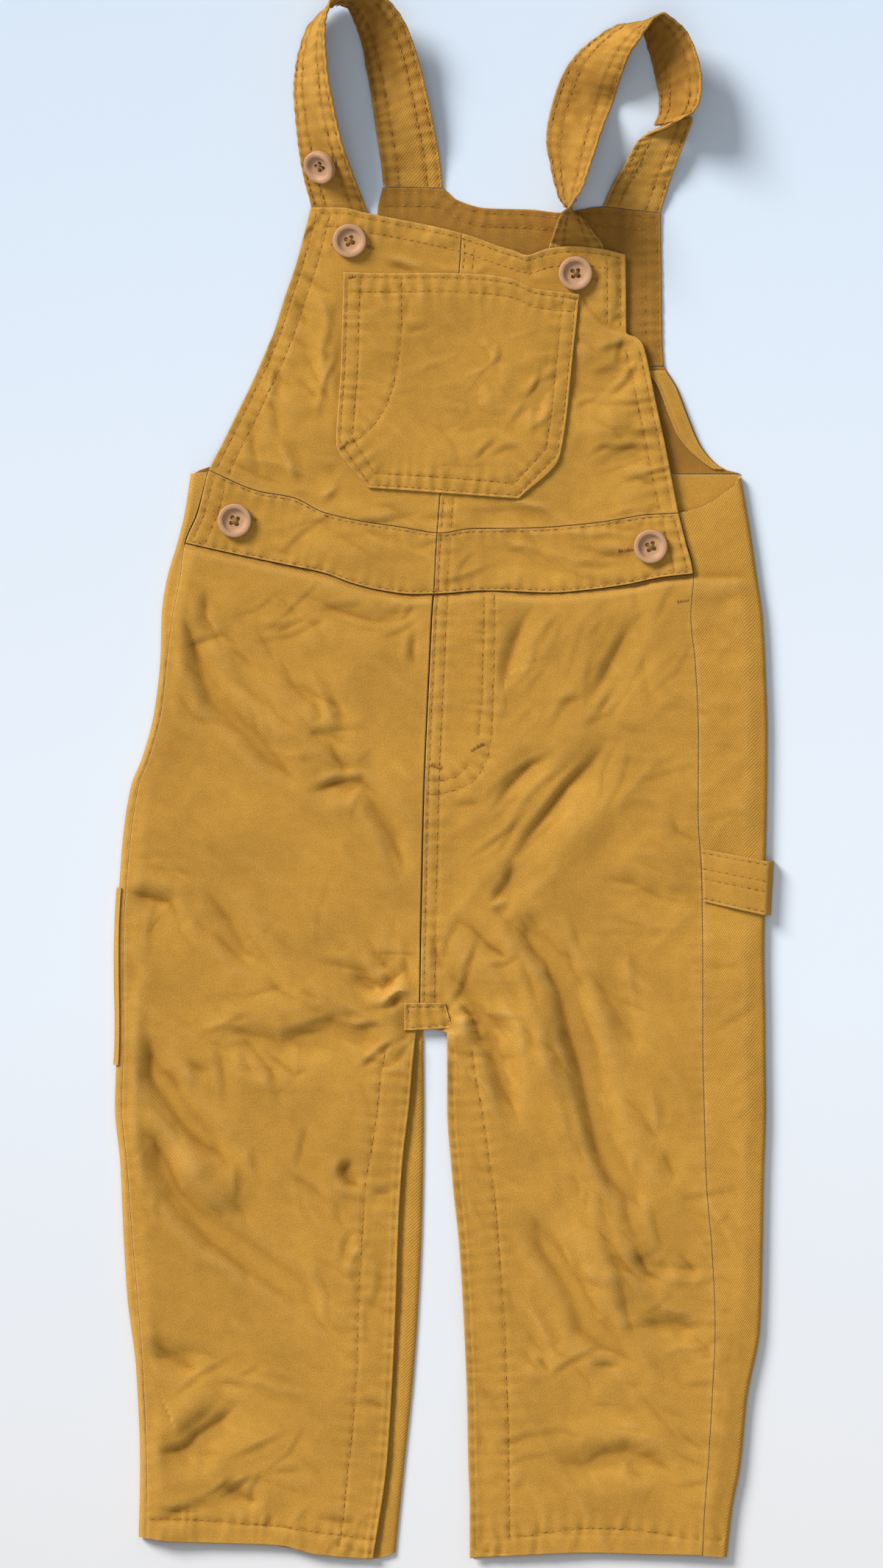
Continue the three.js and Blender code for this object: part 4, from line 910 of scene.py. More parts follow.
def pocket_outline(inset):
    """The pocket's side and bottom edges, drawn in by a distance, from its left mouth to its right one."""
    left = [(float(POCKET.left(v)), float(POCKET.left_y(v))) for v in (0.97, 0.8, 0.6, 0.4, 0.22)]
    right = [(float(POCKET.right(v)), float(POCKET.right_y(v))) for v in (0.22, 0.4, 0.6, 0.8, 0.97)]
    bottom = [pocket_point(u, 0.0) for u in (0.0, 0.5, 1.0)]
    loop = left + [(float(x), float(y)) for x, y in bottom] + right
    drawn = []
    for k, (x, y) in enumerate(loop):
        ax, ay = loop[max(0, k - 1)]
        bx, by = loop[min(len(loop) - 1, k + 1)]
        length = math.hypot(bx - ax, by - ay)
        drawn.append((x - (by - ay) / length * inset, y + (bx - ax) / length * inset))
    return drawn


def pocket_mouth(below):
    """A row across the pocket, below its mouth."""
    found = []
    for u in np.linspace(0.03, 0.97, 24):
        x, y = pocket_point(u, 1.0)
        found.append((float(x), float(y) - below))
    return found


POCKET_ROWS = [
    pocket_mouth(2.4),
    pocket_mouth(9.8),
    pocket_outline(2.0),
    pocket_outline(8.6),
    [(-22.2, 678), (-22.2, 654.8), (-23.4, 639.2), (-26.1, 623.6), (-30, 611.9), (-35.9, 602.2),
     (-41.7, 596.3), (-48.5, 591.5)],
]


# Straps

def through(points, t):
    """Points on a round curve through the given ones, at parts from 0 to 1 of its length in rows."""
    points = np.asarray(points, float)
    last = len(points) - 1
    padded = np.concatenate(([2 * points[0] - points[1]], points, [2 * points[-1] - points[-2]]))
    place = np.clip(t, 0, 1) * last
    i = np.minimum(np.floor(place).astype(int), last - 1)
    weight = (place - i)[:, None]
    a, b, c, d = (padded[i + k] for k in range(4))
    gap = lambda p, q: np.maximum(1e-4, np.sum((p - q) ** 2, axis=1)[:, None] ** 0.25)
    g0, g1, g2 = gap(a, b), gap(b, c), gap(c, d)
    t1 = ((b - a) / g0 - (c - a) / (g0 + g1) + (c - b) / g1) * g1
    t2 = ((c - b) / g1 - (d - b) / (g1 + g2) + (d - c) / g2) * g1
    square = -3 * b + 3 * c - 2 * t1 - t2
    cube = 2 * b - 2 * c + t1 + t2
    return b + t1 * weight + square * weight**2 + cube * weight**3


class Strap:
    """A bent and twisted band, flat at both ends, with one edge raised as its width asks."""

    def __init__(self, rows, flat_rows, ramp_rows, settled_rows, shaded):
        rows = np.array(rows, float)
        index = np.arange(len(rows))
        self.shaded = shaded
        plan = np.hypot(rows[:, 3] - rows[:, 0], rows[:, 4] - rows[:, 1])
        lean = np.sqrt(np.maximum(0, STRAP_WIDTH**2 - plan**2))
        to_end = len(rows) - 1 - index
        settled = to_end < settled_rows
        lean = np.where(settled, mix(0.1, 0.4, to_end >= settled_rows - 1) * lean, lean)
        rows[:, 2] += np.where(settled, 5 * np.sin(math.pi * to_end / (settled_rows + 1)), 0)
        from_end = np.minimum(index - flat_rows, len(rows) - 1 - index)
        raised = rows[:, 2] + lean * np.clip(from_end / ramp_rows, 0, 1)
        self.low_plan, self.high_plan = rows[:, :2], rows[:, 3:]
        part = index / (len(rows) - 1)
        self.low_z = SmoothLine(part, rows[:, 2])
        self.high_z = SmoothLine(part, raised)
        self.span = 1 / (2 * (len(rows) - 1))

    def low(self, t):
        return np.concatenate((through(self.low_plan, t), self.low_z(t)[:, None]), axis=1)

    def high(self, t):
        return np.concatenate((through(self.high_plan, t), self.high_z(t)[:, None]), axis=1)

    def run(self, t):
        back, ahead = np.maximum(0, t - self.span), np.minimum(1, t + self.span)
        run = self.low(ahead) + self.high(ahead) - self.low(back) - self.high(back)
        return run / np.linalg.norm(run, axis=1)[:, None]

    def normal(self, t):
        normal = np.cross(self.run(t), self.high(t) - self.low(t))
        return normal / np.linalg.norm(normal, axis=1)[:, None]

    def middle(self, t, across):
        """A point on the middle surface, at a part across from the low edge."""
        place = mix(self.low(t), self.high(t), np.asarray(across)[:, None])
        place[:, 2] += STRAP_THICK / 2
        return place

    def lengths(self, t):
        """How far along the strap's middle each part is, in millimetres."""
        middle = self.middle(t, np.full(len(t), 0.5))
        return np.concatenate(([0], np.cumsum(np.linalg.norm(np.diff(middle, axis=0), axis=1))))


# Last list: the parts of the length where the shade of the turn starts, is whole, ends and is gone, and
# how deep it is
LEFT_STRAP = Strap(STRAP_LEFT, 2, 1.5, 0, [(0.56, 0.62, 0.74, 0.84, 0.7), (0, 0.1, 0.5, 0.56, 0.3),
                                             (0.74, 0.84, 1.1, 1.2, 0.3)])
RIGHT_STRAP = Strap(STRAP_RIGHT, 2, 2.5, 6, [(0.46, 0.54, 0.75, 0.8, 1.0), (0.1, 0.2, 0.42, 0.5, 0.6)])


def strap_half(across_mm, run, seed):
    """Half of the strap's thickness: rounded at the edges, drawn in at each row of stitches."""
    from_edge = np.minimum(across_mm, STRAP_WIDTH - across_mm)
    half = STRAP_THICK / 2
    lip = np.maximum(0, half - from_edge)
    round_edge = np.sqrt(np.maximum(0.0, half**2 - lip**2))
    drawn = sum(np.exp(-(((across_mm - row) / FURROW_WIDE) ** 2)) for row in STRAP_STITCHES)
    wave = unevenness(across_mm, run, 5.5, seed) + 0.6 * unevenness(across_mm, run, 2.6, seed + 1)
    return round_edge - STRAP_FURROW * drawn + 0.12 * wave * step(0.4, 2.5, from_edge)


def strap_piece(name, strap, seed):
    """A strap as a closed tube round its flat section."""
    across = np.concatenate(([0, 0.25, 0.6, 1.1], np.linspace(1.8, STRAP_WIDTH - 1.8, 31),
                             STRAP_WIDTH - np.array([1.1, 0.6, 0.25, 0])))
    t = np.linspace(0, 1, 240)
    run = strap.lengths(t)
    ring = np.concatenate((across, across[-2:0:-1], across[:1]))
    side = np.concatenate((np.ones(len(across)), -np.ones(len(across) - 2), [1.0]))
    piece = start_grid(name, len(ring) - 1, len(t) - 1)
    mesh = piece.data
    order = grid_points(mesh, len(ring) - 1, len(t) - 1)[1]
    c, tt = (g.ravel() for g in np.meshgrid(ring, t))
    s, rr = (g.ravel() for g in np.meshgrid(side, run))
    phase = 2.2 * unevenness(c, rr, 12, seed + 5)
    near_row = sum(np.exp(-np.abs(c - row) / 3) for row in STRAP_STITCHES)
    pucker = STRAP_PUCKER * near_row * np.sin(rr * 2 * math.pi / STRAP_PUCKER_GAP + phase)
    bend = 0.6 * unevenness(c, rr, 19, seed + 7) + 0.35 * unevenness(c, rr, 8, seed + 9) + pucker
    bend = bend * step(4, 16, rr) * step(4, 16, run[-1] - rr)
    offset = s * strap_half(c, rr, seed) + bend
    place = strap.middle(tt, c / STRAP_WIDTH) + strap.normal(tt) * offset[:, None]
    place[:, 2] = rest_on(0.02, place[:, 2], 0.15)
    mesh.vertices.foreach_set("co", in_frame(place[order]).ravel())
    from_edge = np.minimum(c, STRAP_WIDTH - c)
    # Painted shade: the strap is painted darker along its rows of stitches, in the troughs of its puckers and
    # in the shade of each turn, more towards its low edge, and paler on the crests of its puckers; a little
    # random tone goes with it
    drawn = sum(np.exp(-(((c - row) / 1.3) ** 2)) for row in STRAP_STITCHES)
    shade = sum(much * step(start, whole, tt) * (1 - step(end, gone, tt))
                for start, whole, end, gone, much in strap.shaded) * (1.1 - 0.6 * c / STRAP_WIDTH)
    painted_shade_and_rub = np.clip(0.55 * drawn - 0.3 * unevenness(c, rr, 5.5, seed) - 0.8 * pucker + shade, -1, 1)
    # The whole strap is mixed a little towards the paler colour, and its edges more
    wear = 0.15 + np.exp(-from_edge / WORN_REACH)
    set_cloth(piece, order, np.stack((c + 40 * (s < 0), rr), axis=1), painted_shade_and_rub, wear)
    bpy.ops.object.mode_set(mode="EDIT")
    bpy.ops.mesh.select_all(action="SELECT")
    bpy.ops.mesh.remove_doubles(threshold=0.00001)
    bpy.ops.mesh.select_all(action="SELECT")
    bpy.ops.mesh.fill_holes(sides=0)
    bpy.ops.object.mode_set(mode="OBJECT")
    finish_mesh(piece)
    return piece


# Stitches

def stitch_shape():
    """One stitch as a grain of thread, one unit long, wide and high; thread_piece bends it so that its ends
    go into the cloth.
    """
    clear_selection()
    bpy.ops.mesh.primitive_uv_sphere_add(segments=6, ring_count=6, radius=0.5, rotation=(0, math.pi / 2, 0))
    grain = bpy.context.active_object
    bpy.ops.object.transform_apply(rotation=True)
    points = np.array([v.co[:] for v in grain.data.vertices])
    faces = [tuple(p.vertices) for p in grain.data.polygons]
    bpy.data.objects.remove(grain)
    return points, faces


def resample(points, gap):
    """Points at even distances along a broken line."""
    points = np.asarray(points, float)
    run = np.concatenate(([0], np.cumsum(np.linalg.norm(np.diff(points, axis=0), axis=1))))
    count = max(1, int(run[-1] / gap))
    places = (np.arange(count) + 0.5) * run[-1] / count
    return np.stack([np.interp(places, run, points[:, k]) for k in range(points.shape[1])], axis=1)


def directions(points):
    """Direction of a row at each of its points."""
    if len(points) < 2:
        return np.array([[1.0, 0.0, 0.0]] * len(points))
    ahead = np.gradient(points, axis=0)
    return ahead / np.linalg.norm(ahead, axis=1)[:, None]


def surface_row(points, face, pitch):
    """Centres, directions and normals of the stitches of a row that lies on a face."""
    flat = resample(points, pitch)
    x, y = flat[:, 0], flat[:, 1]
    z = face(x, y)
    centres = np.stack((x, y, z), axis=1)
    reach = 1.2
    tilt_x = (face(x + reach, y) - face(x - reach, y)) / (2 * reach)
    tilt_y = (face(x, y + reach) - face(x, y - reach)) / (2 * reach)
    normals = np.stack((-tilt_x, -tilt_y, np.ones(len(x))), axis=1)
    return centres, directions(centres), normals / np.linalg.norm(normals, axis=1)[:, None]


def thread_piece(name, rows, long, wide, high, seed, lift=0.06):
    """Many stitches as one mesh. Each row is centres, directions and normals."""
    points, faces = stitch_shape()
    rng = np.random.default_rng(seed)
    centres, along, normals = (np.concatenate([row[k] for row in rows]) for k in range(3))
    along = along - normals * np.sum(along * normals, axis=1)[:, None]
    along = along / np.maximum(1e-9, np.linalg.norm(along, axis=1))[:, None]
    lean = rng.normal(0, 0.07, len(centres))[:, None]
    side = np.cross(normals, along)
    along, side = along + side * lean, side - along * lean
    size = rng.uniform(0.92, 1.08, len(centres))[:, None, None]
    bow = points[:, 2] - 1.1 * points[:, 0] ** 2
    body = (points[None, :, 0, None] * long * along[:, None, :] * size
            + points[None, :, 1, None] * wide * side[:, None, :]
            + (bow[None, :, None] * high + lift) * normals[:, None, :])
    place = in_frame((centres[:, None, :] + body).reshape(-1, 3))
    mesh = bpy.data.meshes.new(name)
    count = len(points)
    every = [tuple(k * count + v for v in face) for k in range(len(centres)) for face in faces]
    mesh.from_pydata(place.tolist(), [], every)
    tone = np.repeat(rng.uniform(0, 1, len(centres)), count)
    store(mesh, "tone", tone)
    piece = bpy.data.objects.new(name, mesh)
    bpy.context.scene.collection.objects.link(piece)
    finish_mesh(piece, 80)
    return piece


def bar_tack(start, end, face, pitch=0.55):
    """A short bar of close stitches across a line."""
    centres, along, normals = surface_row([start, end], face, pitch)
    return centres, np.cross(normals, along), normals


# Materials

def linear(colour):
    """An sRGB hex colour as linear numbers."""
    channels = [int(colour[k : k + 2], 16) / 255 for k in (1, 3, 5)]
    return tuple(c / 12.92 if c <= 0.04045 else ((c + 0.055) / 1.055) ** 2.4 for c in channels)


def add_node(tree, kind, inputs=None, **settings):
    """Adds a node with its settings, and sets or links its inputs."""
    made = tree.nodes.new(kind)
    for name, value in settings.items():
        setattr(made, name, value)
    for key, value in (inputs or {}).items():
        if isinstance(value, bpy.types.NodeSocket):
            tree.links.new(value, made.inputs[key])
        else:
            made.inputs[key].default_value = value
    return made


def new_material(name):
    material = bpy.data.materials.new(name)
    material.use_nodes = True
    material.node_tree.nodes.clear()
    return material, material.node_tree


def finish_material(tree, shader):
    add_node(tree, "ShaderNodeOutputMaterial", {"Surface": shader.outputs["BSDF"]})


def noise(tree, place, scale, detail, **more):
    """Value of a noise texture."""
    inputs = {"Vector": place, "Scale": scale, "Detail": detail, **more}
    return add_node(tree, "ShaderNodeTexNoise", inputs).outputs["Fac"]


def ranged(tree, value, start, end, low, high):
    """A value that goes from low to high as another goes from start to end."""
    return add_node(tree, "ShaderNodeMapRange", {
        "Value": value, "From Min": start, "From Max": end, "To Min": low, "To Max": high}).outputs["Result"]


def blend(tree, part, below, above, kind="MIX"):
    """Two colours joined by a part from 0 to 1."""
    return add_node(tree, "ShaderNodeMix", {"Factor": part, 6: below, 7: above},
                    data_type="RGBA", blend_type=kind).outputs[2]


def bumps(tree, height, strength, distance):
    """Normal of a surface with small bumps."""
    return add_node(tree, "ShaderNodeBump", {
        "Height": height, "Strength": strength, "Distance": distance}).outputs["Normal"]


def twill_material(name, cloth, deep, worn_and_highlight):
    """Peached cotton twill, piece dyed and washed: it scatters light widely. Its troughs and seams are
    painted darker as painted shade, and its raised places paler, partly as rubbing and partly as painted
    highlight.
    Its wales are drawn wider apart than the real ones, which are about 0.7 mm apart, so that they still show
    from above."""
    material, tree = new_material(name)
    place = add_node(tree, "ShaderNodeUVMap", uv_map="cloth").outputs["UV"]
    wales = add_node(tree, "ShaderNodeTexWave", {
        "Vector": place, "Scale": 0.628 / (WALE_GAP * math.sqrt(2)), "Distortion": 2.2, "Detail": 2.0,
        "Detail Scale": 1.4}, wave_type="BANDS", bands_direction="DIAGONAL").outputs["Fac"]
    fuzz = noise(tree, place, 1.15, 4.0, Roughness=0.7)
    slub = noise(tree, place, 0.16, 3.0)
    wash = noise(tree, place, 0.022, 2.0)
    painted_shade_and_rub = add_node(tree, "ShaderNodeAttribute", attribute_name="painted_shade_and_rub").outputs["Fac"]
    wear = add_node(tree, "ShaderNodeAttribute", attribute_name="wear").outputs["Fac"]
    # Painted shade and highlight: the colour goes towards the deep one in troughs and seams, where shade
    # falls, and towards the paler one on ridges, partly for rubbing and partly as painted highlight; edges
    # are mixed paler for rubbing
    dark = ranged(tree, painted_shade_and_rub, 0.0, 1.0, 0.0, 0.85)
    pale = ranged(tree, painted_shade_and_rub, 0.0, -1.0, 0.0, 0.35)
    edge = add_node(tree, "ShaderNodeMath", {0: wear, 1: 0.3}, operation="MULTIPLY").outputs[0]
    rubbed = add_node(tree, "ShaderNodeMath", {0: pale, 1: edge}, operation="ADD", use_clamp=True).outputs[0]
    mottle = blend(tree, rubbed, blend(tree, dark, (*cloth, 1), (*deep, 1)), (*worn_and_highlight, 1))
    for value, low, high in ((fuzz, 0.74, 1.26), (slub, 0.92, 1.08), (wash, 0.87, 1.12), (wales, 0.95, 1.04)):
        scale = ranged(tree, value, 0.2, 0.8, low, high)
        grey = add_node(tree, "ShaderNodeCombineColor", {0: scale, 1: scale, 2: scale}).outputs[0]
        mottle = blend(tree, 1.0, mottle, grey, "MULTIPLY")
    weave = add_node(tree, "ShaderNodeMath", {0: wales, 1: fuzz}, operation="ADD").outputs[0]
    shader = add_node(tree, "ShaderNodeBsdfPrincipled", {
        "Base Color": mottle, "Roughness": 0.95, "IOR": 1.45, "Specular IOR Level": 0.12,
        "Sheen Weight": 0.05, "Sheen Roughness": 0.55, "Sheen Tint": (*worn_and_highlight, 1),
        "Normal": bumps(tree, weave, 0.55, 0.00022)})
    finish_material(tree, shader)
    return material


def thread_material(thread, light):
    """Spun polyester thread, twisted from three plies: a little glossier than the cloth. Each stitch is mixed
    at random towards a lighter colour, partly as rubbing and partly as a painted glint of the light that it
    catches."""
    material, tree = new_material("Thread spun polyester")
    tone = add_node(tree, "ShaderNodeAttribute", attribute_name="tone").outputs["Fac"]
    place = add_node(tree, "ShaderNodeTexCoord").outputs["Object"]
    twist = noise(tree, place, 2600.0, 1.0)
    shader = add_node(tree, "ShaderNodeBsdfPrincipled", {
        "Base Color": blend(tree, tone, (*thread, 1), (*light, 1)), "Roughness": 0.62, "IOR": 1.5,
        "Specular IOR Level": 0.4, "Normal": bumps(tree, twist, 0.4, 0.0001)})
    finish_material(tree, shader)
    return material


def button_material(resin, dark):
    """Polyester resin, cast and tumbled: an even satin surface with faint darker clouds."""
    material, tree = new_material("Button tumbled resin")
    place = add_node(tree, "ShaderNodeTexCoord").outputs["Object"]
    cloud = noise(tree, place, 260.0, 4.0)
    grain = noise(tree, place, 2400.0, 3.0)
    shader = add_node(tree, "ShaderNodeBsdfPrincipled", {
        "Base Color": blend(tree, cloud, (*resin, 1), (*dark, 1)), "Roughness": 0.56, "IOR": 1.5,
        "Specular IOR Level": 0.3, "Normal": bumps(tree, grain, 0.35, 0.00006)})
    finish_material(tree, shader)
    return material


def table_material(far, middle, near):
    """Matt melamine board: pale, with the faintest grain. Its colour goes from a darker blue beyond the
    straps
    to grey by the hems: painted light, for the way the light falls across it.
    """
    material, tree = new_material("Table matt melamine")
    place = add_node(tree, "ShaderNodeTexCoord").outputs["Object"]
    y = add_node(tree, "ShaderNodeSeparateXYZ", {0: place}).outputs["Y"]
    colour = None
    for low, high, below, above in ((-0.42, -0.1, near, middle), (0.0, 0.42, None, far)):
        part = ranged(tree, y, low, high, 0.0, 1.0)
        colour = blend(tree, part, colour or (*below, 1), (*above, 1))
    grain = noise(tree, place, 900.0, 2.0)
    shader = add_node(tree, "ShaderNodeBsdfPrincipled", {
        "Base Color": colour, "Roughness": 0.7, "Specular IOR Level": 0.2,
        "Normal": bumps(tree, grain, 0.12, 0.0001)})
    finish_material(tree, shader)
    return material


def material_of(name, make):
    """A material by name, made the first time that it is asked for."""
    return bpy.data.materials.get(name) or make()


def twill():
    look = bpy.context.scene.dungarees_cloth
    name = "Twill peached cotton"
    return material_of(name, lambda: twill_material(name, look.colour[:3], look.deep[:3], look.worn_and_highlight[:3]))


def twill_inside():
    look = bpy.context.scene.dungarees_cloth
    name = "Twill cotton inside"
    return material_of(name, lambda: twill_material(name, look.inside[:3], look.deep[:3], look.colour[:3]))


def thread():
    look = bpy.context.scene.dungarees_stitching
    return material_of("Thread spun polyester", lambda: thread_material(look.colour[:3], look.light[:3]))


def resin():
    look = bpy.context.scene.dungarees_buttons
    return material_of("Button tumbled resin", lambda: button_material(look.colour[:3], look.dark[:3]))


# Settings

def colour_property(name, description, default):
    return bpy.props.FloatVectorProperty(name=name, description=description, subtype="COLOR",
                                         default=linear(default), min=0, max=1)


def length_property(name, description, default):
    return bpy.props.FloatProperty(name=name, description=description, subtype="DISTANCE", unit="LENGTH",
                                   default=default, min=0)


def strength_property(name, description, default, subtype="NONE"):
    return bpy.props.FloatProperty(name=name, description=description, subtype=subtype, default=default,
                                   min=0)


class ClothSettings(bpy.types.PropertyGroup):
    cell: length_property("Cell", "Size of the mesh cells on the legs", 0.00145)
    colour: colour_property("Colour", "Colour of the twill", "#B78738")
    # The deep colour is painted shade for seams and hollows
    deep: colour_property("Deep colour", "Colour of the twill in seams and hollows", "#8A5C1C")
    # The paler colour is partly rubbing and partly painted highlight on ridges
    worn_and_highlight: colour_property("Worn colour", "Colour of the twill where it is rubbed", "#CFA768")
    inside: colour_property("Inside colour", "Colour of the twill's wrong side", "#94692C")


class StitchingSettings(bpy.types.PropertyGroup):
    pitch: length_property("Pitch", "Distance from one stitch to the next", 0.0036)
    long: length_property("Length", "Length of a stitch that shows", 0.0029)
    wide: length_property("Width", "Width of the thread", 0.00062)
    colour: colour_property("Colour", "Colour of the thread", "#84581C")
    # The light colour is partly rubbing and partly painted glint
    light: colour_property("Light colour", "Colour of the thread where it is rubbed", "#B58436")


class ButtonSettings(bpy.types.PropertyGroup):
    radius: length_property("Radius", "Radius of a button", 0.009)
    thick: length_property("Thickness", "Thickness of a button", 0.0032)
    hole: length_property("Hole", "Radius of a thread hole", 0.00115)
    hole_out: length_property("Hole place", "Distance of a hole from the middle", 0.0021)
    colour: colour_property("Colour", "Colour of the resin", "#C09673")
    dark: colour_property("Dark colour", "Colour of the resin's darker clouds", "#A87F5C")


class StageSettings(bpy.types.PropertyGroup):
    # Painted light: the table's three colours paint how the light falls across it
    far: colour_property("Far colour", "Colour of the table beyond the straps", "#D0DEEE")
    middle: colour_property("Middle colour", "Colour of the table beside the waist", "#DCE4EE")
    near: colour_property("Near colour", "Colour of the table by the hems", "#DDDDDF")
    key: strength_property("Key light", "Strength of the window's light", 4.1)
    lamp: strength_property("Lamp", "Power of the lamp above the legs", 2.6, "POWER")
    fill: strength_property("Fill light", "Strength of the even light", 0.36)


# Operators

def front_leg(name, leg, node):
    rows = LEFT_LEG_ROWS if leg is LEFT_LEG else RIGHT_LEG_ROWS
    out = leg.outward

    def x_at(part, y):
        even = sum(leg.front(y + step_up) for step_up in range(-75, 76, 15)) / 11
        inner = even + (leg.front(y) - even) * part**7
        return mix(leg.seam(y) - out * SHOWN_SEAM / 2, inner + out * SEAM / 2, part)

    def place(u, v):
        return settle(u, v, x_at, leg.hem, lambda x: WAIST_SEAM(x) - SEAM / 2, 260.0)

    def face(x, y, u, v):
        hem_fold = LEG_HEM_LIFT * (1 - step(8.5, 10.5, y - leg.hem(x)))
        inner_fold = LEG_HEM_LIFT * (1 - step(4, 6, np.abs(x - leg.front(y)))) * (y < 290)
        sink = 0.5 * np.exp(-((WAIST_SEAM(x) - y) / 2.2) ** 2)
        return leg_face(x, y, rows) + hem_fold + inner_fold - sink

    cell = bpy.context.scene.dungarees_cloth.cell / MM
    piece = plate_piece(name, parts(148, cell), parts(520, cell), place, face)
    dress(piece, twill(), "twill", node)


class DUNGAREES_OT_front_legs(bpy.types.Operator):
    """Makes the two front panels of the legs and seat"""

    bl_idname = "dungarees.front_legs"
    bl_label = "Front legs"

    def execute(self, context):
        front_leg("twill_front_leg_left", LEFT_LEG, "front_leg_left")
        front_leg("twill_front_leg_right", RIGHT_LEG, "front_leg_right")
        return {"FINISHED"}


def back_leg(name, leg, returns, node, strip_cells):
    """A back panel: flat on the table, turned round the side fold and back on top to the side seam."""
    out = leg.outward
    flat_parts = np.array([0, 0.3, 0.8, 1.6, 3, 5, 7.5, 10, 13, 20, 40, 70, 100, 125, BACK_WIDE]) / BACK_WIDE
    turn_parts, strip_parts = np.linspace(0, 1, 11)[1:], np.linspace(0, 1, strip_cells)[1:]
    across = np.concatenate((flat_parts, 1 + turn_parts, 2 + strip_parts))

    def section(s, v, depth):
        bottom, turn, strip = s <= 1, (s > 1) & (s <= 2), s > 2
        top = np.where(bottom, returns.under, mix(returns.under, returns.edge, np.clip(s - 1, 0, 1)))
        y = mix(5.0, top, v)
        x = leg.edge(y)
        for _ in range(6):
            edge = leg.edge(y)
            radius = leg_solid(edge - out * SIDE_FOLD_HEIGHT / 2, y) / 2
            flat_x = mix(leg.back(y), edge - out * radius, np.clip(s, 0, 1))
            angle = math.pi * np.clip(s - 1, 0, 1)
            turn_x = edge - out * radius + out * (radius - depth) * np.sin(angle)
            strip_x = mix(edge - out * radius, leg.seam(y) + out * SHOWN_SEAM / 2, np.clip(s - 2, 0, 1))
            x = np.where(bottom, flat_x, np.where(turn, turn_x, strip_x))
            top = np.where(strip, returns.strip(x), top)
            y = mix(leg.hem(x), top, v)
        turn_z = radius - (radius - depth) * np.cos(angle)
        from_back = np.abs(x - leg.back(y))
        shows = np.abs(leg.back(y) - leg.front(y))
        fold = 1.3 * np.sqrt(step(0, 2.2, from_back)) * (1 - step(shows - 3.5, shows - 0.5, from_back))
        fold = fold * (shows > 4) * (y < 285) * (depth > 0)
        beside = np.abs(x - leg.seam(y))
        sink = 0.15 * np.exp(-((beside / 2) ** 2))
        strip_z = leg_face(x, y, RIGHT_STRIP_ROWS if out > 0 else ()) - depth - sink
        z = np.where(bottom, depth + fold, np.where(turn, turn_z, strip_z))
        return x, y, z

    def flat_cloth(s, v):
        turned = BACK_WIDE + SIDE_TURN
        strip = abs(leg.edge(300) - leg.seam(300))
        return np.interp(s, (0, 1, 2, 3), (0, BACK_WIDE, turned, turned + strip)), v * BACK_LONG

    rows = parts(570, 2.0)
    piece = cloth_piece(name, across, rows, lambda s, v: section(s, v, 0), lambda s, v: section(s, v, CLOTH),
                        roll=0, flat=flat_cloth)
    dress(piece, twill(), "twill", node)


class DUNGAREES_OT_back_legs(bpy.types.Operator):
    """Makes the two back panels, each turned round its side fold"""

    bl_idname = "dungarees.back_legs"
    bl_label = "Back legs"

    def execute(self, context):
        back_leg("twill_back_leg_left", LEFT_LEG, LEFT_RETURN, "back_leg_left", 5)
        back_leg("twill_back_leg_right", RIGHT_LEG, RIGHT_RETURN, "back_leg_right", 20)
        return {"FINISHED"}


def bib_half(name, node, left, right, low, high, face, cells):
    def place(u, v):
        return settle(u, v, lambda part, y: mix(left(y), right(y), part), low, high, 600.0)

    piece = plate_piece(name, *cells, place, lambda x, y, u, v: face(x, y))
    dress(piece, twill(), "twill", node)


def centre_left(y):
    return BIB.centre(y) - SEAM / 2


def centre_right(y):
    return BIB.centre(y) + SEAM / 2


class DUNGAREES_OT_waistband(bpy.types.Operator):
    """Makes the two halves of the front waistband"""

    bl_idname = "dungarees.waistband"
    bl_label = "Waistband"

    def execute(self, context):
        low, high = (lambda x: WAIST_SEAM(x) + SEAM / 2), (lambda x: BIB_SEAM(x) - SEAM / 2)
        cells = parts(128, 1.3), parts(34, 1.1)
        bib_half("twill_waistband_left", "waistband_left", BIB.left, centre_left, low, high,
                 lambda x, y: waistband_face(x, y, WAISTBAND_ROWS), cells)
        bib_half("twill_waistband_right", "waistband_right", centre_right, BIB.right, low, high,
                 lambda x, y: waistband_face(x, y, WAISTBAND_ROWS + WAISTBAND_CENTRE_ROWS), cells)
        return {"FINISHED"}


class DUNGAREES_OT_bib(bpy.types.Operator):
    """Makes the two halves of the front bib"""

    bl_idname = "dungarees.bib"
    bl_label = "Bib"

    def execute(self, context):
        low = lambda x: BIB_SEAM(x) + SEAM / 2
        cells = parts(110, 1.35), parts(160, 1.35)
        bib_half("twill_bib_left", "bib_front_left", BIB.left, centre_left, low, BIB_TOP,
                 lambda x, y: bib_face(x, y, BIB_ROWS), cells)
        bib_half("twill_bib_right", "bib_front_right", centre_right, BIB.right, low, BIB_TOP,
                 lambda x, y: bib_face(x, y, BIB_ROWS + BIB_CENTRE_ROWS), cells)
        return {"FINISHED"}


class DUNGAREES_OT_bib_pocket(bpy.types.Operator):
    """Makes the patch pocket of the bib"""

    bl_idname = "dungarees.bib_pocket"
    bl_label = "Bib pocket"

    def execute(self, context):
        def face(x, y, u, v):
            return pocket_face(x, y, u, v, POCKET_ROWS)

        piece = plate_piece("twill_bib_pocket", parts(125, 1.2), parts(POCKET_HIGH, 1.2), pocket_point, face)
        dress(piece, twill(), "twill", "bib_pocket")
        return {"FINISHED"}


def flat_face(top, rows=(), crumple=0.25, seed=61):
    def face(x, y):
        return top + crumple * (0.5 + crumpled(x, y, 0.2, seed, size=13)) + stitched(x, y, rows)

    return face


BACK_BIB_PLAIN = flat_face(1.15, BACK_BIB_ROWS)


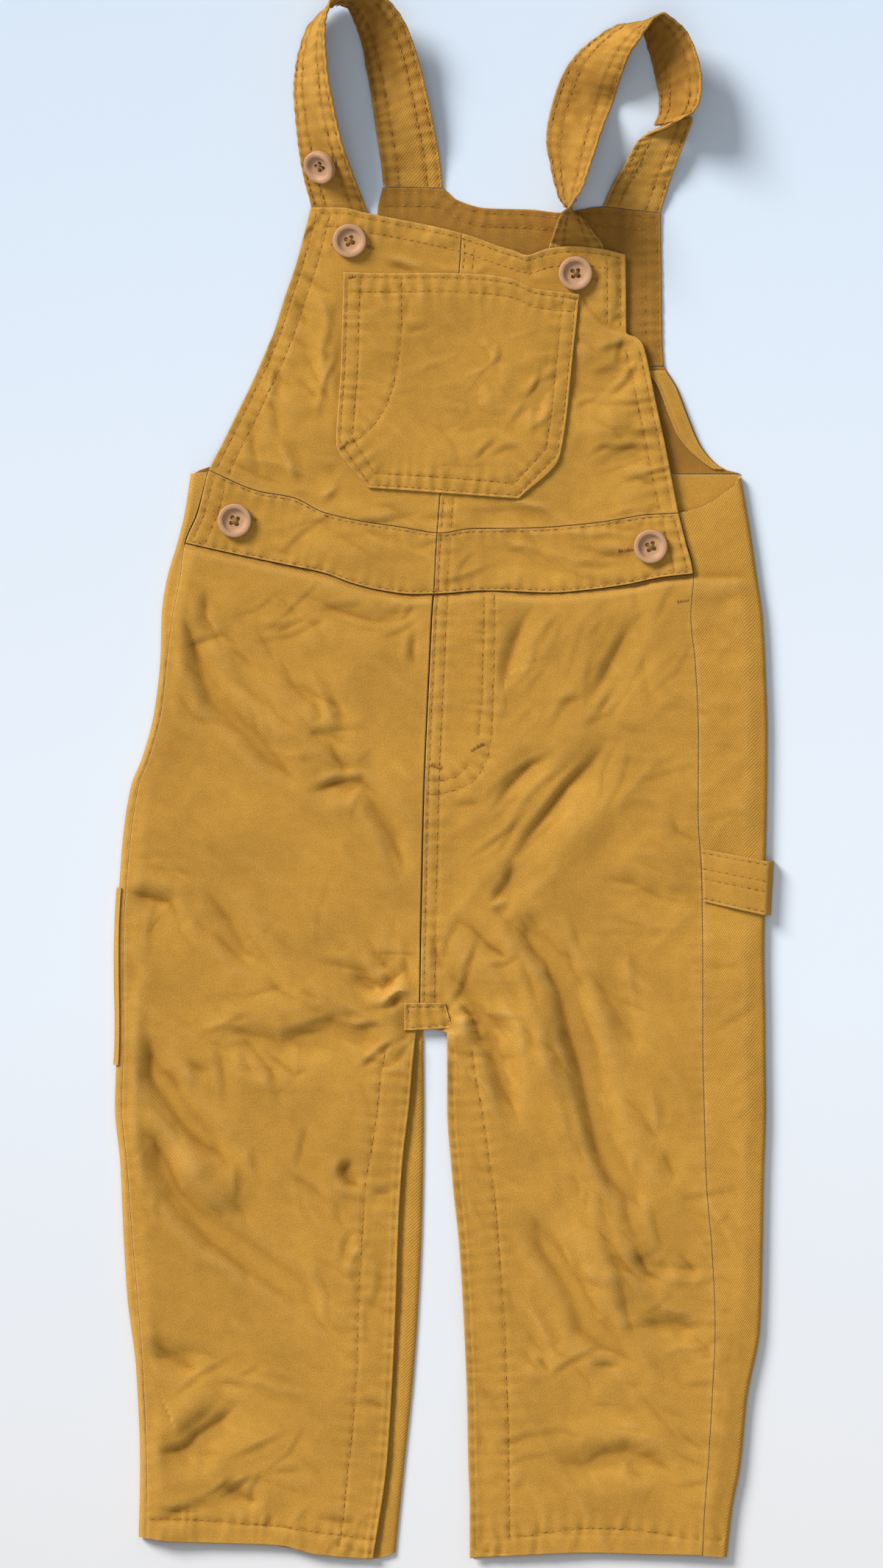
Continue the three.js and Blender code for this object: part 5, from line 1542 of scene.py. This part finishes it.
def back_bib_face(x, y):
    """The back bib with its turned hem."""
    return BACK_BIB_PLAIN(x, y) + BACK_BIB_HEM_LIFT * step(-10.4, -8.8, y - BACK_BIB_TOP(x))


def table_piece(name, across, along, place, face):
    """A piece of cloth that lies on the table itself, with its inner face at the bottom."""

    def outer(u, v):
        x, y = place(u, v)
        return x, y, face(x, y)

    def inner(u, v):
        x, y = place(u, v)
        return x, y, 0 * x

    return cloth_piece(name, across, along, outer, inner)


class DUNGAREES_OT_back_bib(bpy.types.Operator):
    """Makes the back bib, the yoke below it and the facing of the armhole, with their insides up"""

    bl_idname = "dungarees.back_bib"
    bl_label = "Back bib"

    def execute(self, context):
        def bib_place(u, v):
            x_at = lambda part, y: mix(BACK_BIB.left(y), BACK_BIB.right(y), part)
            return settle(u, v, x_at, lambda x: 632.3 + 0 * x, BACK_BIB_TOP, 680.0)

        piece = table_piece("twill_back_bib", parts(150, 1.6), parts(90, 1.5), bib_place, back_bib_face)
        dress(piece, twill_inside(), "twill_inside", "back_bib")

        def yoke_place(u, v):
            y = mix(575.4, 632.0, v)
            return mix(YOKE.left(y), YOKE.right(y), u), y

        piece = table_piece("twill_back_yoke", parts(230, 2.4), parts(56, 1.8), yoke_place, flat_face(1.1))
        dress(piece, twill_inside(), "twill_inside", "back_yoke")

        def band_face(x, y, u, v):
            narrow = ARMHOLE_BAND * mix(0.55, 1, step(577, 600, y))
            groove = 0.3 * np.exp(-((((1 - u) * narrow - (narrow - 1.6)) / 0.8) ** 2))
            return 2.6 + 0.25 * crumpled(x, y, -0.9, 71, size=9) - groove

        def band_place(u, v):
            y = mix(577.6, 630.0, v)
            narrow = mix(0.55, 1, step(577, 600, y))
            return YOKE.right(y) - 0.6 - ARMHOLE_BAND * narrow * (1 - u), y

        piece = plate_piece("twill_armhole_band", parts(9.5, 0.7, (0.2, 0.5, 1.0)), parts(62, 1.1),
                            band_place, band_face, thick=1.0, roll=0.4)
        dress(piece, twill(), "twill_inside", "armhole_band_right")
        return {"FINISHED"}


class DUNGAREES_OT_straps(bpy.types.Operator):
    """Makes the two straps, standing in loops"""

    bl_idname = "dungarees.straps"
    bl_label = "Straps"

    def execute(self, context):
        for side, strap, seed, rests in (("left", LEFT_STRAP, 81, "bib_front_left"),
                                         ("right", RIGHT_STRAP, 91, "back_bib")):
            piece = strap_piece(f"twill_strap_{side}", strap, seed)
            dress(piece, twill(), "twill", f"strap_{side}")
            long = float(strap.lengths(np.linspace(0, 1, 400))[-1]) * MM
        return {"FINISHED"}


def hammer_section(u, v, depth):
    """The loop lies over the side strip, turns round the side fold and ends on the table."""
    seam_x, seam_y = mix(138.4, 136.9, v), mix(348.4, 376.6, v)
    fold_x, fold_y = mix(169.8, 171.4, v), mix(341.4, 370, v)
    level = leg_solid(RIGHT_LEG.edge(fold_y) - SIDE_FOLD_HEIGHT / 2, fold_y) + LAYER + 1 + WALL
    part = np.clip(u, 0, 1)
    x, y = mix(seam_x, fold_x, part), mix(seam_y, fold_y, part)
    rise = mix(leg_solid(x, y) + LAYER + WALL, level, step(0, 0.8, part))
    drawn = sum(np.exp(-(((v - row) * 29 / FURROW_WIDE) ** 2)) for row in HAMMER_STITCHES)
    flat_z = rise - depth - 0.25 * drawn * (depth == 0)
    turn = math.pi / 2 * np.clip(u - 1, 0, 1)
    reach = 4 - depth
    down = u > 1
    return (np.where(down, fold_x + reach * np.sin(turn), x), np.where(down, fold_y, y),
            np.where(down, (level - depth) * np.cos(turn * 0.98), flat_z))


HAMMER_STITCHES = (0.07, 0.44, 0.63, 0.93)


def tool_section(u, v, depth):
    """The edge of the side pocket, round the side fold of the left leg."""
    y = mix(262, 356, v)
    edge = LEFT_LEG.edge(y)
    inner = leg_solid(edge + SIDE_FOLD_HEIGHT / 2, y) / 2
    reach = inner + LAYER + WALL - depth
    turn = math.pi * mix(0.16, 0.86, u)
    wave = 0.25 * unevenness(y, u * 20, 16, 77) * (depth == 0)
    return edge + inner - (reach + wave) * np.sin(turn), y, np.maximum(0, inner - reach * np.cos(turn))


def tab_point(u, v):
    x = mix(-20.5, mix(5, 1, v), u)
    y = mix(mix(280.2, 281.6, u), 295, v)
    return x, y


def tab_face(x, y, u=0, v=0):
    highest = leg_solid(x, y)
    for reach in (-4, 4):
        highest = np.maximum(highest, leg_solid(x + reach, y))
    return highest + 2 * LAYER + WALL + 0.3 + stitched(x, y, TAB_ROWS)


TAB_ROWS = [
    [(-18.4, 281.9), (3, 283.1)], [(-18, 292.8), (0.2, 293)], [(-18.6, 283), (-18.4, 293)],
    [(3.2, 283.4), (0.6, 293)],
]


class DUNGAREES_OT_small_cloth(bpy.types.Operator):
    """Makes the hammer loop, the side pocket's edge and the tab at the crotch"""

    bl_idname = "dungarees.small_cloth"
    bl_label = "Loop, side pocket and tab"

    def execute(self, context):
        across = np.concatenate((parts(33, 1.4), 1 + np.linspace(0, 1, 9)[1:]))
        piece = cloth_piece("twill_hammer_loop", across, parts(29, 1.0), lambda u, v: hammer_section(u, v, 0),
                            lambda u, v: hammer_section(u, v, CLOTH), roll=0.4,
                            flat=lambda u, v: (u * 33, v * 29))
        dress(piece, twill(), "twill", "hammer_loop")
        piece = cloth_piece("twill_tool_pocket", np.linspace(0, 1, 15), parts(94, 1.6),
                            lambda u, v: tool_section(u, v, 0), lambda u, v: tool_section(u, v, CLOTH),
                            roll=0, flat=lambda u, v: (u * 10, v * 94))
        dress(piece, twill(), "twill", "tool_pocket")
        fine = (0.2, 0.5, 1.0)
        piece = plate_piece("twill_crotch_tab", parts(24, 0.8, fine), parts(13, 0.8, fine), tab_point,
                            tab_face)
        dress(piece, twill(), "twill", "crotch_tab")
        return {"FINISHED"}


def shaped_button():
    """One button: a disc with a raised round rim, a dished middle and four holes."""
    look = bpy.context.scene.dungarees_buttons
    clear_selection()
    bpy.ops.mesh.primitive_cylinder_add(vertices=56, radius=look.radius, depth=look.thick,
                                        location=(0, 0, look.thick / 2))
    disc = bpy.context.active_object
    bpy.ops.object.transform_apply(location=True)
    bpy.ops.object.mode_set(mode="EDIT")
    bpy.ops.mesh.select_mode(type="FACE")
    bpy.ops.mesh.select_all(action="DESELECT")
    bpy.ops.object.mode_set(mode="OBJECT")
    for face in disc.data.polygons:
        face.select = face.normal.z > 0.9
    bpy.ops.object.mode_set(mode="EDIT")
    bpy.ops.mesh.bevel(offset=look.radius * 0.1, segments=4, affect="EDGES")
    bpy.ops.object.mode_set(mode="OBJECT")
    top = max(disc.data.polygons, key=lambda face: (round(face.center.z, 6), face.area))
    for face in disc.data.polygons:
        face.select = face.index == top.index
    for edge in disc.data.edges:
        edge.select = False
    for vertex in disc.data.vertices:
        vertex.select = False
    top.select = True
    bpy.ops.object.mode_set(mode="EDIT")
    for inset, drop in ((0.14, 0.0), (0.05, -0.03), (0.06, -0.1), (0.05, -0.07), (0.08, -0.03)):
        bpy.ops.mesh.inset(thickness=look.radius * inset, depth=look.radius * drop)
    bpy.ops.object.mode_set(mode="OBJECT")
    for k in range(4):
        angle = math.pi / 4 + k * math.pi / 2
        clear_selection()
        bpy.ops.mesh.primitive_cylinder_add(
            vertices=14, radius=look.hole, depth=look.thick * 3,
            location=(look.hole_out * math.cos(angle), look.hole_out * math.sin(angle), look.thick / 2))
        drill = bpy.context.active_object
        bpy.context.view_layer.objects.active = disc
        cut = disc.modifiers.new("hole", "BOOLEAN")
        cut.object, cut.operation, cut.solver = drill, "DIFFERENCE", "EXACT"
        bpy.ops.object.modifier_apply(modifier=cut.name)
        bpy.data.objects.remove(drill)
    return disc


def surface_button(x, y, face, turn):
    """Where a button lies on cloth: just above the highest point beneath it, level with the table."""
    ring = np.linspace(0, 2 * math.pi, 17)[:-1]
    highest = max(float(np.max(face(x + r * np.cos(ring), y + r * np.sin(ring)))) for r in (0, 3, 6, 9))
    place = Matrix.Translation(Vector(in_frame((x, y, highest + SEAM))))
    return place @ Matrix.Rotation(turn, 4, "Z")


def strap_button(strap, t, across, side, room, turn):
    """Where a button stands on one face of a strap."""
    at = np.array([t])
    normal = Vector(strap.normal(at)[0] * side)
    run = Vector(strap.run(at)[0])
    cross = normal.cross(run).normalized()
    square = cross.cross(normal)
    middle = strap.middle(at, np.array([across]))[0] + np.array(normal) * (STRAP_THICK / 2 + SEAM + room)
    turned = Matrix((square, cross, normal)).transposed().to_4x4()
    return Matrix.Translation(Vector(in_frame(middle))) @ turned @ Matrix.Rotation(turn, 4, "Z")


def waist_solid(x, y):
    return bib_solid(x, y) + WAISTBAND_LIFT


BUTTONS = {
    name: surface_button(x, y, waist_solid if "waist" in name else bib_solid, turn)
    for name, (x, y, turn) in FRONT_BUTTONS.items()
}
BUTTONS["button_strap_left"] = strap_button(LEFT_STRAP, 0.192, 0.44, -1, 1, 0.5)
BUTTONS["button_strap_right"] = strap_button(RIGHT_STRAP, 0.301, 0.5, 1, 1.1, 0.2)


class DUNGAREES_OT_buttons(bpy.types.Operator):
    """Makes the six buttons, and the crossed thread that holds each"""

    bl_idname = "dungarees.buttons"
    bl_label = "Buttons"

    def execute(self, context):
        look = context.scene.dungarees_buttons
        model = shaped_button()
        rows = []
        for name, place in BUTTONS.items():
            piece = model.copy()
            piece.data = model.data.copy()
            piece.name = piece.data.name = f"resin_{name}"
            context.scene.collection.objects.link(piece)
            piece.data.transform(place)
            finish_mesh(piece, 35)
            dress(piece, resin(), "button", name)
            up = np.array(place.to_3x3().col[2])
            for turn in (math.pi / 4, 3 * math.pi / 4):
                along = np.array(place.to_3x3() @ Vector((math.cos(turn), math.sin(turn), 0)))
                beside = np.cross(up, along)
                for shift in (-0.00028, 0.00028):
                    high = look.thick - look.radius * 0.2 + 0.0002
                    centre = np.array(place.translation) + up * high + beside * shift
                    rows.append((centre[None, :] / MM - MOVED, along[None, :], up[None, :]))
        bpy.data.objects.remove(model)
        piece = thread_piece("thread_buttons", rows, 4.4, 0.55, 0.9, 7, lift=0.1)
        dress(piece, thread(), "thread")
        return {"FINISHED"}


def seam_rows(lines, face):
    pitch = bpy.context.scene.dungarees_stitching.pitch / MM
    return [surface_row(points, lambda x, y: face(x, y, lines), pitch) for points in lines]


def pocket_parts(x, y):
    """Parts across and along the pocket of a point on it, found by going round a few times."""
    v = np.clip((y - POCKET_LOW) / POCKET_HIGH, 0, 1)
    u = 0 * x
    for _ in range(12):
        u = np.clip((x - POCKET.left(v)) / (POCKET.right(v) - POCKET.left(v)), 0, 1)
        low = mix(POCKET.left_y(v), POCKET.right_y(v), u) + POCKET_BOW(u) * step(0.55, 1, v)
        v = np.clip(v + (y - low) / POCKET_HIGH * 0.8, 0, 1)
    return u, v


def pocket_at(x, y, rows=()):
    return pocket_face(x, y, *pocket_parts(x, y), rows)


# Bar tacks and the ends of the buttonholes: the face that each lies on, and both its ends
TACKS = (
    (bib_face, [((-59.7, 696.9), (-58, 697.2)), ((-40.5, 695.6), (-36.4, 694.8)),
                ((79.4, 678.2), (82, 677.6))]),
    (waistband_face, [((-122.2, 556.4), (-119.6, 555.2)), ((-101, 551.3), (-98.6, 550.8)),
                      ((92.8, 534.4), (101, 535.4))]),
    (leg_face, [((14.8, 428.6), (21.8, 432.5)), ((-6.6, 421.5), (-0.8, 419.5)),
                ((124, 507.5), (130, 508.5))]),
    (pocket_at, [((-50.5, 679.6), (-46.5, 680)), ((67, 669), (71, 668.2)),
                 ((-55, 588.5), (-50.5, 592.5))]),
)


def strap_rows(strap, pitch):
    """Stitches of both faces of a strap."""
    t = np.linspace(0, 1, 600)
    run = strap.lengths(t)
    count = int(run[-1] / pitch)
    places = np.interp((np.arange(count) + 0.5) * run[-1] / count, run, t)
    found = []
    for across in STRAP_STITCHES:
        for side in (1, -1):
            c = np.full(count, across)
            normal = strap.normal(places) * side
            centre = strap.middle(places, c / STRAP_WIDTH) + normal * (STRAP_THICK / 2 - 0.2)
            found.append((centre, directions(centre), normal))
    return found


class DUNGAREES_OT_stitching(bpy.types.Operator):
    """Makes every row of stitches, the bar tacks and the ends of the buttonholes"""

    bl_idname = "dungarees.stitching"
    bl_label = "Stitching"

    def execute(self, context):
        look = context.scene.dungarees_stitching
        long, wide, pitch = look.long / MM, look.wide / MM, look.pitch / MM

        def sew(name, rows, seed, long=long):
            dress(thread_piece(name, rows, long, wide, wide * 1.1, seed), thread(), "thread")

        sew("thread_leg_left", seam_rows(LEFT_LEG_ROWS, leg_face), 1)
        right = seam_rows(RIGHT_LEG_ROWS, leg_face) + seam_rows(RIGHT_STRIP_ROWS, leg_face)
        sew("thread_leg_right", right, 2)
        sew("thread_waistband", seam_rows(WAISTBAND_ROWS + WAISTBAND_CENTRE_ROWS, waistband_face), 3)
        sew("thread_bib", seam_rows(BIB_ROWS + BIB_CENTRE_ROWS, bib_face), 4)
        sew("thread_pocket", seam_rows(POCKET_ROWS, pocket_at), 5)
        sew("thread_back_bib", [surface_row(points, back_bib_face, pitch) for points in BACK_BIB_ROWS], 6)
        sew("thread_tab", seam_rows(TAB_ROWS, lambda x, y, rows: tab_face(x, y)), 8)
        sew("thread_strap_left", strap_rows(LEFT_STRAP, pitch), 9)
        sew("thread_strap_right", strap_rows(RIGHT_STRAP, pitch), 10)
        loop = []
        for row in HAMMER_STITCHES:
            u = np.linspace(0.03, 0.97, 9)
            centre = np.stack(hammer_section(u, row + 0 * u, 0), axis=1)
            loop.append((centre, directions(centre), np.tile((0.0, 0.0, 1.0), (9, 1))))
        sew("thread_hammer_loop", loop, 11)
        tacks = [bar_tack(start, end, face) for face, places in TACKS for start, end in places]
        sew("thread_tacks", tacks, 12, 2.4)
        return {"FINISHED"}


class DUNGAREES_OT_stage(bpy.types.Operator):
    """Makes the pale table, the soft light and the camera that looks straight down"""

    bl_idname = "dungarees.stage"
    bl_label = "Stage"

    def execute(self, context):
        look = context.scene.dungarees_stage
        clear_selection()
        bpy.ops.mesh.primitive_plane_add(size=16, location=(0, 0, -0.0002))
        floor = context.active_object
        floor.name = "table"
        floor.data.materials.append(table_material(look.far[:3], look.middle[:3], look.near[:3]))
        world = bpy.data.worlds.new("even light")
        world.use_nodes = True
        even = world.node_tree.nodes["Background"]
        even.inputs["Color"].default_value = SKY_COLOUR
        even.inputs["Strength"].default_value = look.fill
        context.scene.world = world
        bpy.ops.object.light_add(type="SUN", location=WINDOW_AT)
        window = context.active_object
        window.name = "window_light"
        window.data.angle = math.radians(WINDOW_ANGLE)
        window.data.energy = look.key
        window.data.color = WINDOW_COLOUR
        aim = Vector((0, 0, 0)) - window.location
        window.rotation_euler = aim.to_track_quat("-Z", "Y").to_euler()
        bpy.ops.object.light_add(type="AREA", location=LAMP_AT)
        lamp = context.active_object
        lamp.name = "lamp_above"
        lamp.data.shape = "DISK"
        lamp.data.size = LAMP_WIDE
        lamp.data.energy = look.lamp
        lamp.visible_camera = False
        bpy.ops.object.camera_add(location=(-0.0012, -0.0052, CAMERA_HEIGHT), rotation=(0, 0, 0))
        camera = context.active_object
        camera.name = "camera_above"
        camera.data.sensor_fit = "VERTICAL"
        camera.data.sensor_height = SENSOR
        camera.data.lens = SENSOR * CAMERA_HEIGHT / VIEW_HEIGHT
        camera.data.clip_end = 100
        context.scene.camera = camera
        context.scene.view_settings.view_transform = "Standard"
        context.scene.view_settings.look = "None"
        return {"FINISHED"}


OPERATORS = (
    DUNGAREES_OT_stage,
    DUNGAREES_OT_back_legs,
    DUNGAREES_OT_front_legs,
    DUNGAREES_OT_waistband,
    DUNGAREES_OT_back_bib,
    DUNGAREES_OT_bib,
    DUNGAREES_OT_bib_pocket,
    DUNGAREES_OT_straps,
    DUNGAREES_OT_small_cloth,
    DUNGAREES_OT_buttons,
    DUNGAREES_OT_stitching,
)
SETTINGS = {
    "dungarees_cloth": ClothSettings,
    "dungarees_stitching": StitchingSettings,
    "dungarees_buttons": ButtonSettings,
    "dungarees_stage": StageSettings,
}


class VIEW3D_PT_dungarees(bpy.types.Panel):
    """Lists the settings and the pieces"""

    bl_label = "Dungarees"
    bl_space_type = "VIEW_3D"
    bl_region_type = "UI"
    bl_category = "Dungarees"

    def draw(self, context):
        for name, group in SETTINGS.items():
            box = self.layout.box()
            for setting in group.__annotations__:
                box.prop(getattr(context.scene, name), setting)
        for operator in OPERATORS:
            self.layout.operator(operator.bl_idname)


CLASSES = (*SETTINGS.values(), *OPERATORS, VIEW3D_PT_dungarees)


def register():
    for cls in CLASSES:
        bpy.utils.register_class(cls)
    for name, group in SETTINGS.items():
        setattr(bpy.types.Scene, name, bpy.props.PointerProperty(type=group))


def unregister():
    for name in SETTINGS:
        delattr(bpy.types.Scene, name)
    for cls in reversed(CLASSES):
        bpy.utils.unregister_class(cls)


def main():
    register()
    for operator in OPERATORS:
        group, name = operator.bl_idname.split(".")
        getattr(getattr(bpy.ops, group), name)()


if __name__ == "__main__":
    main()
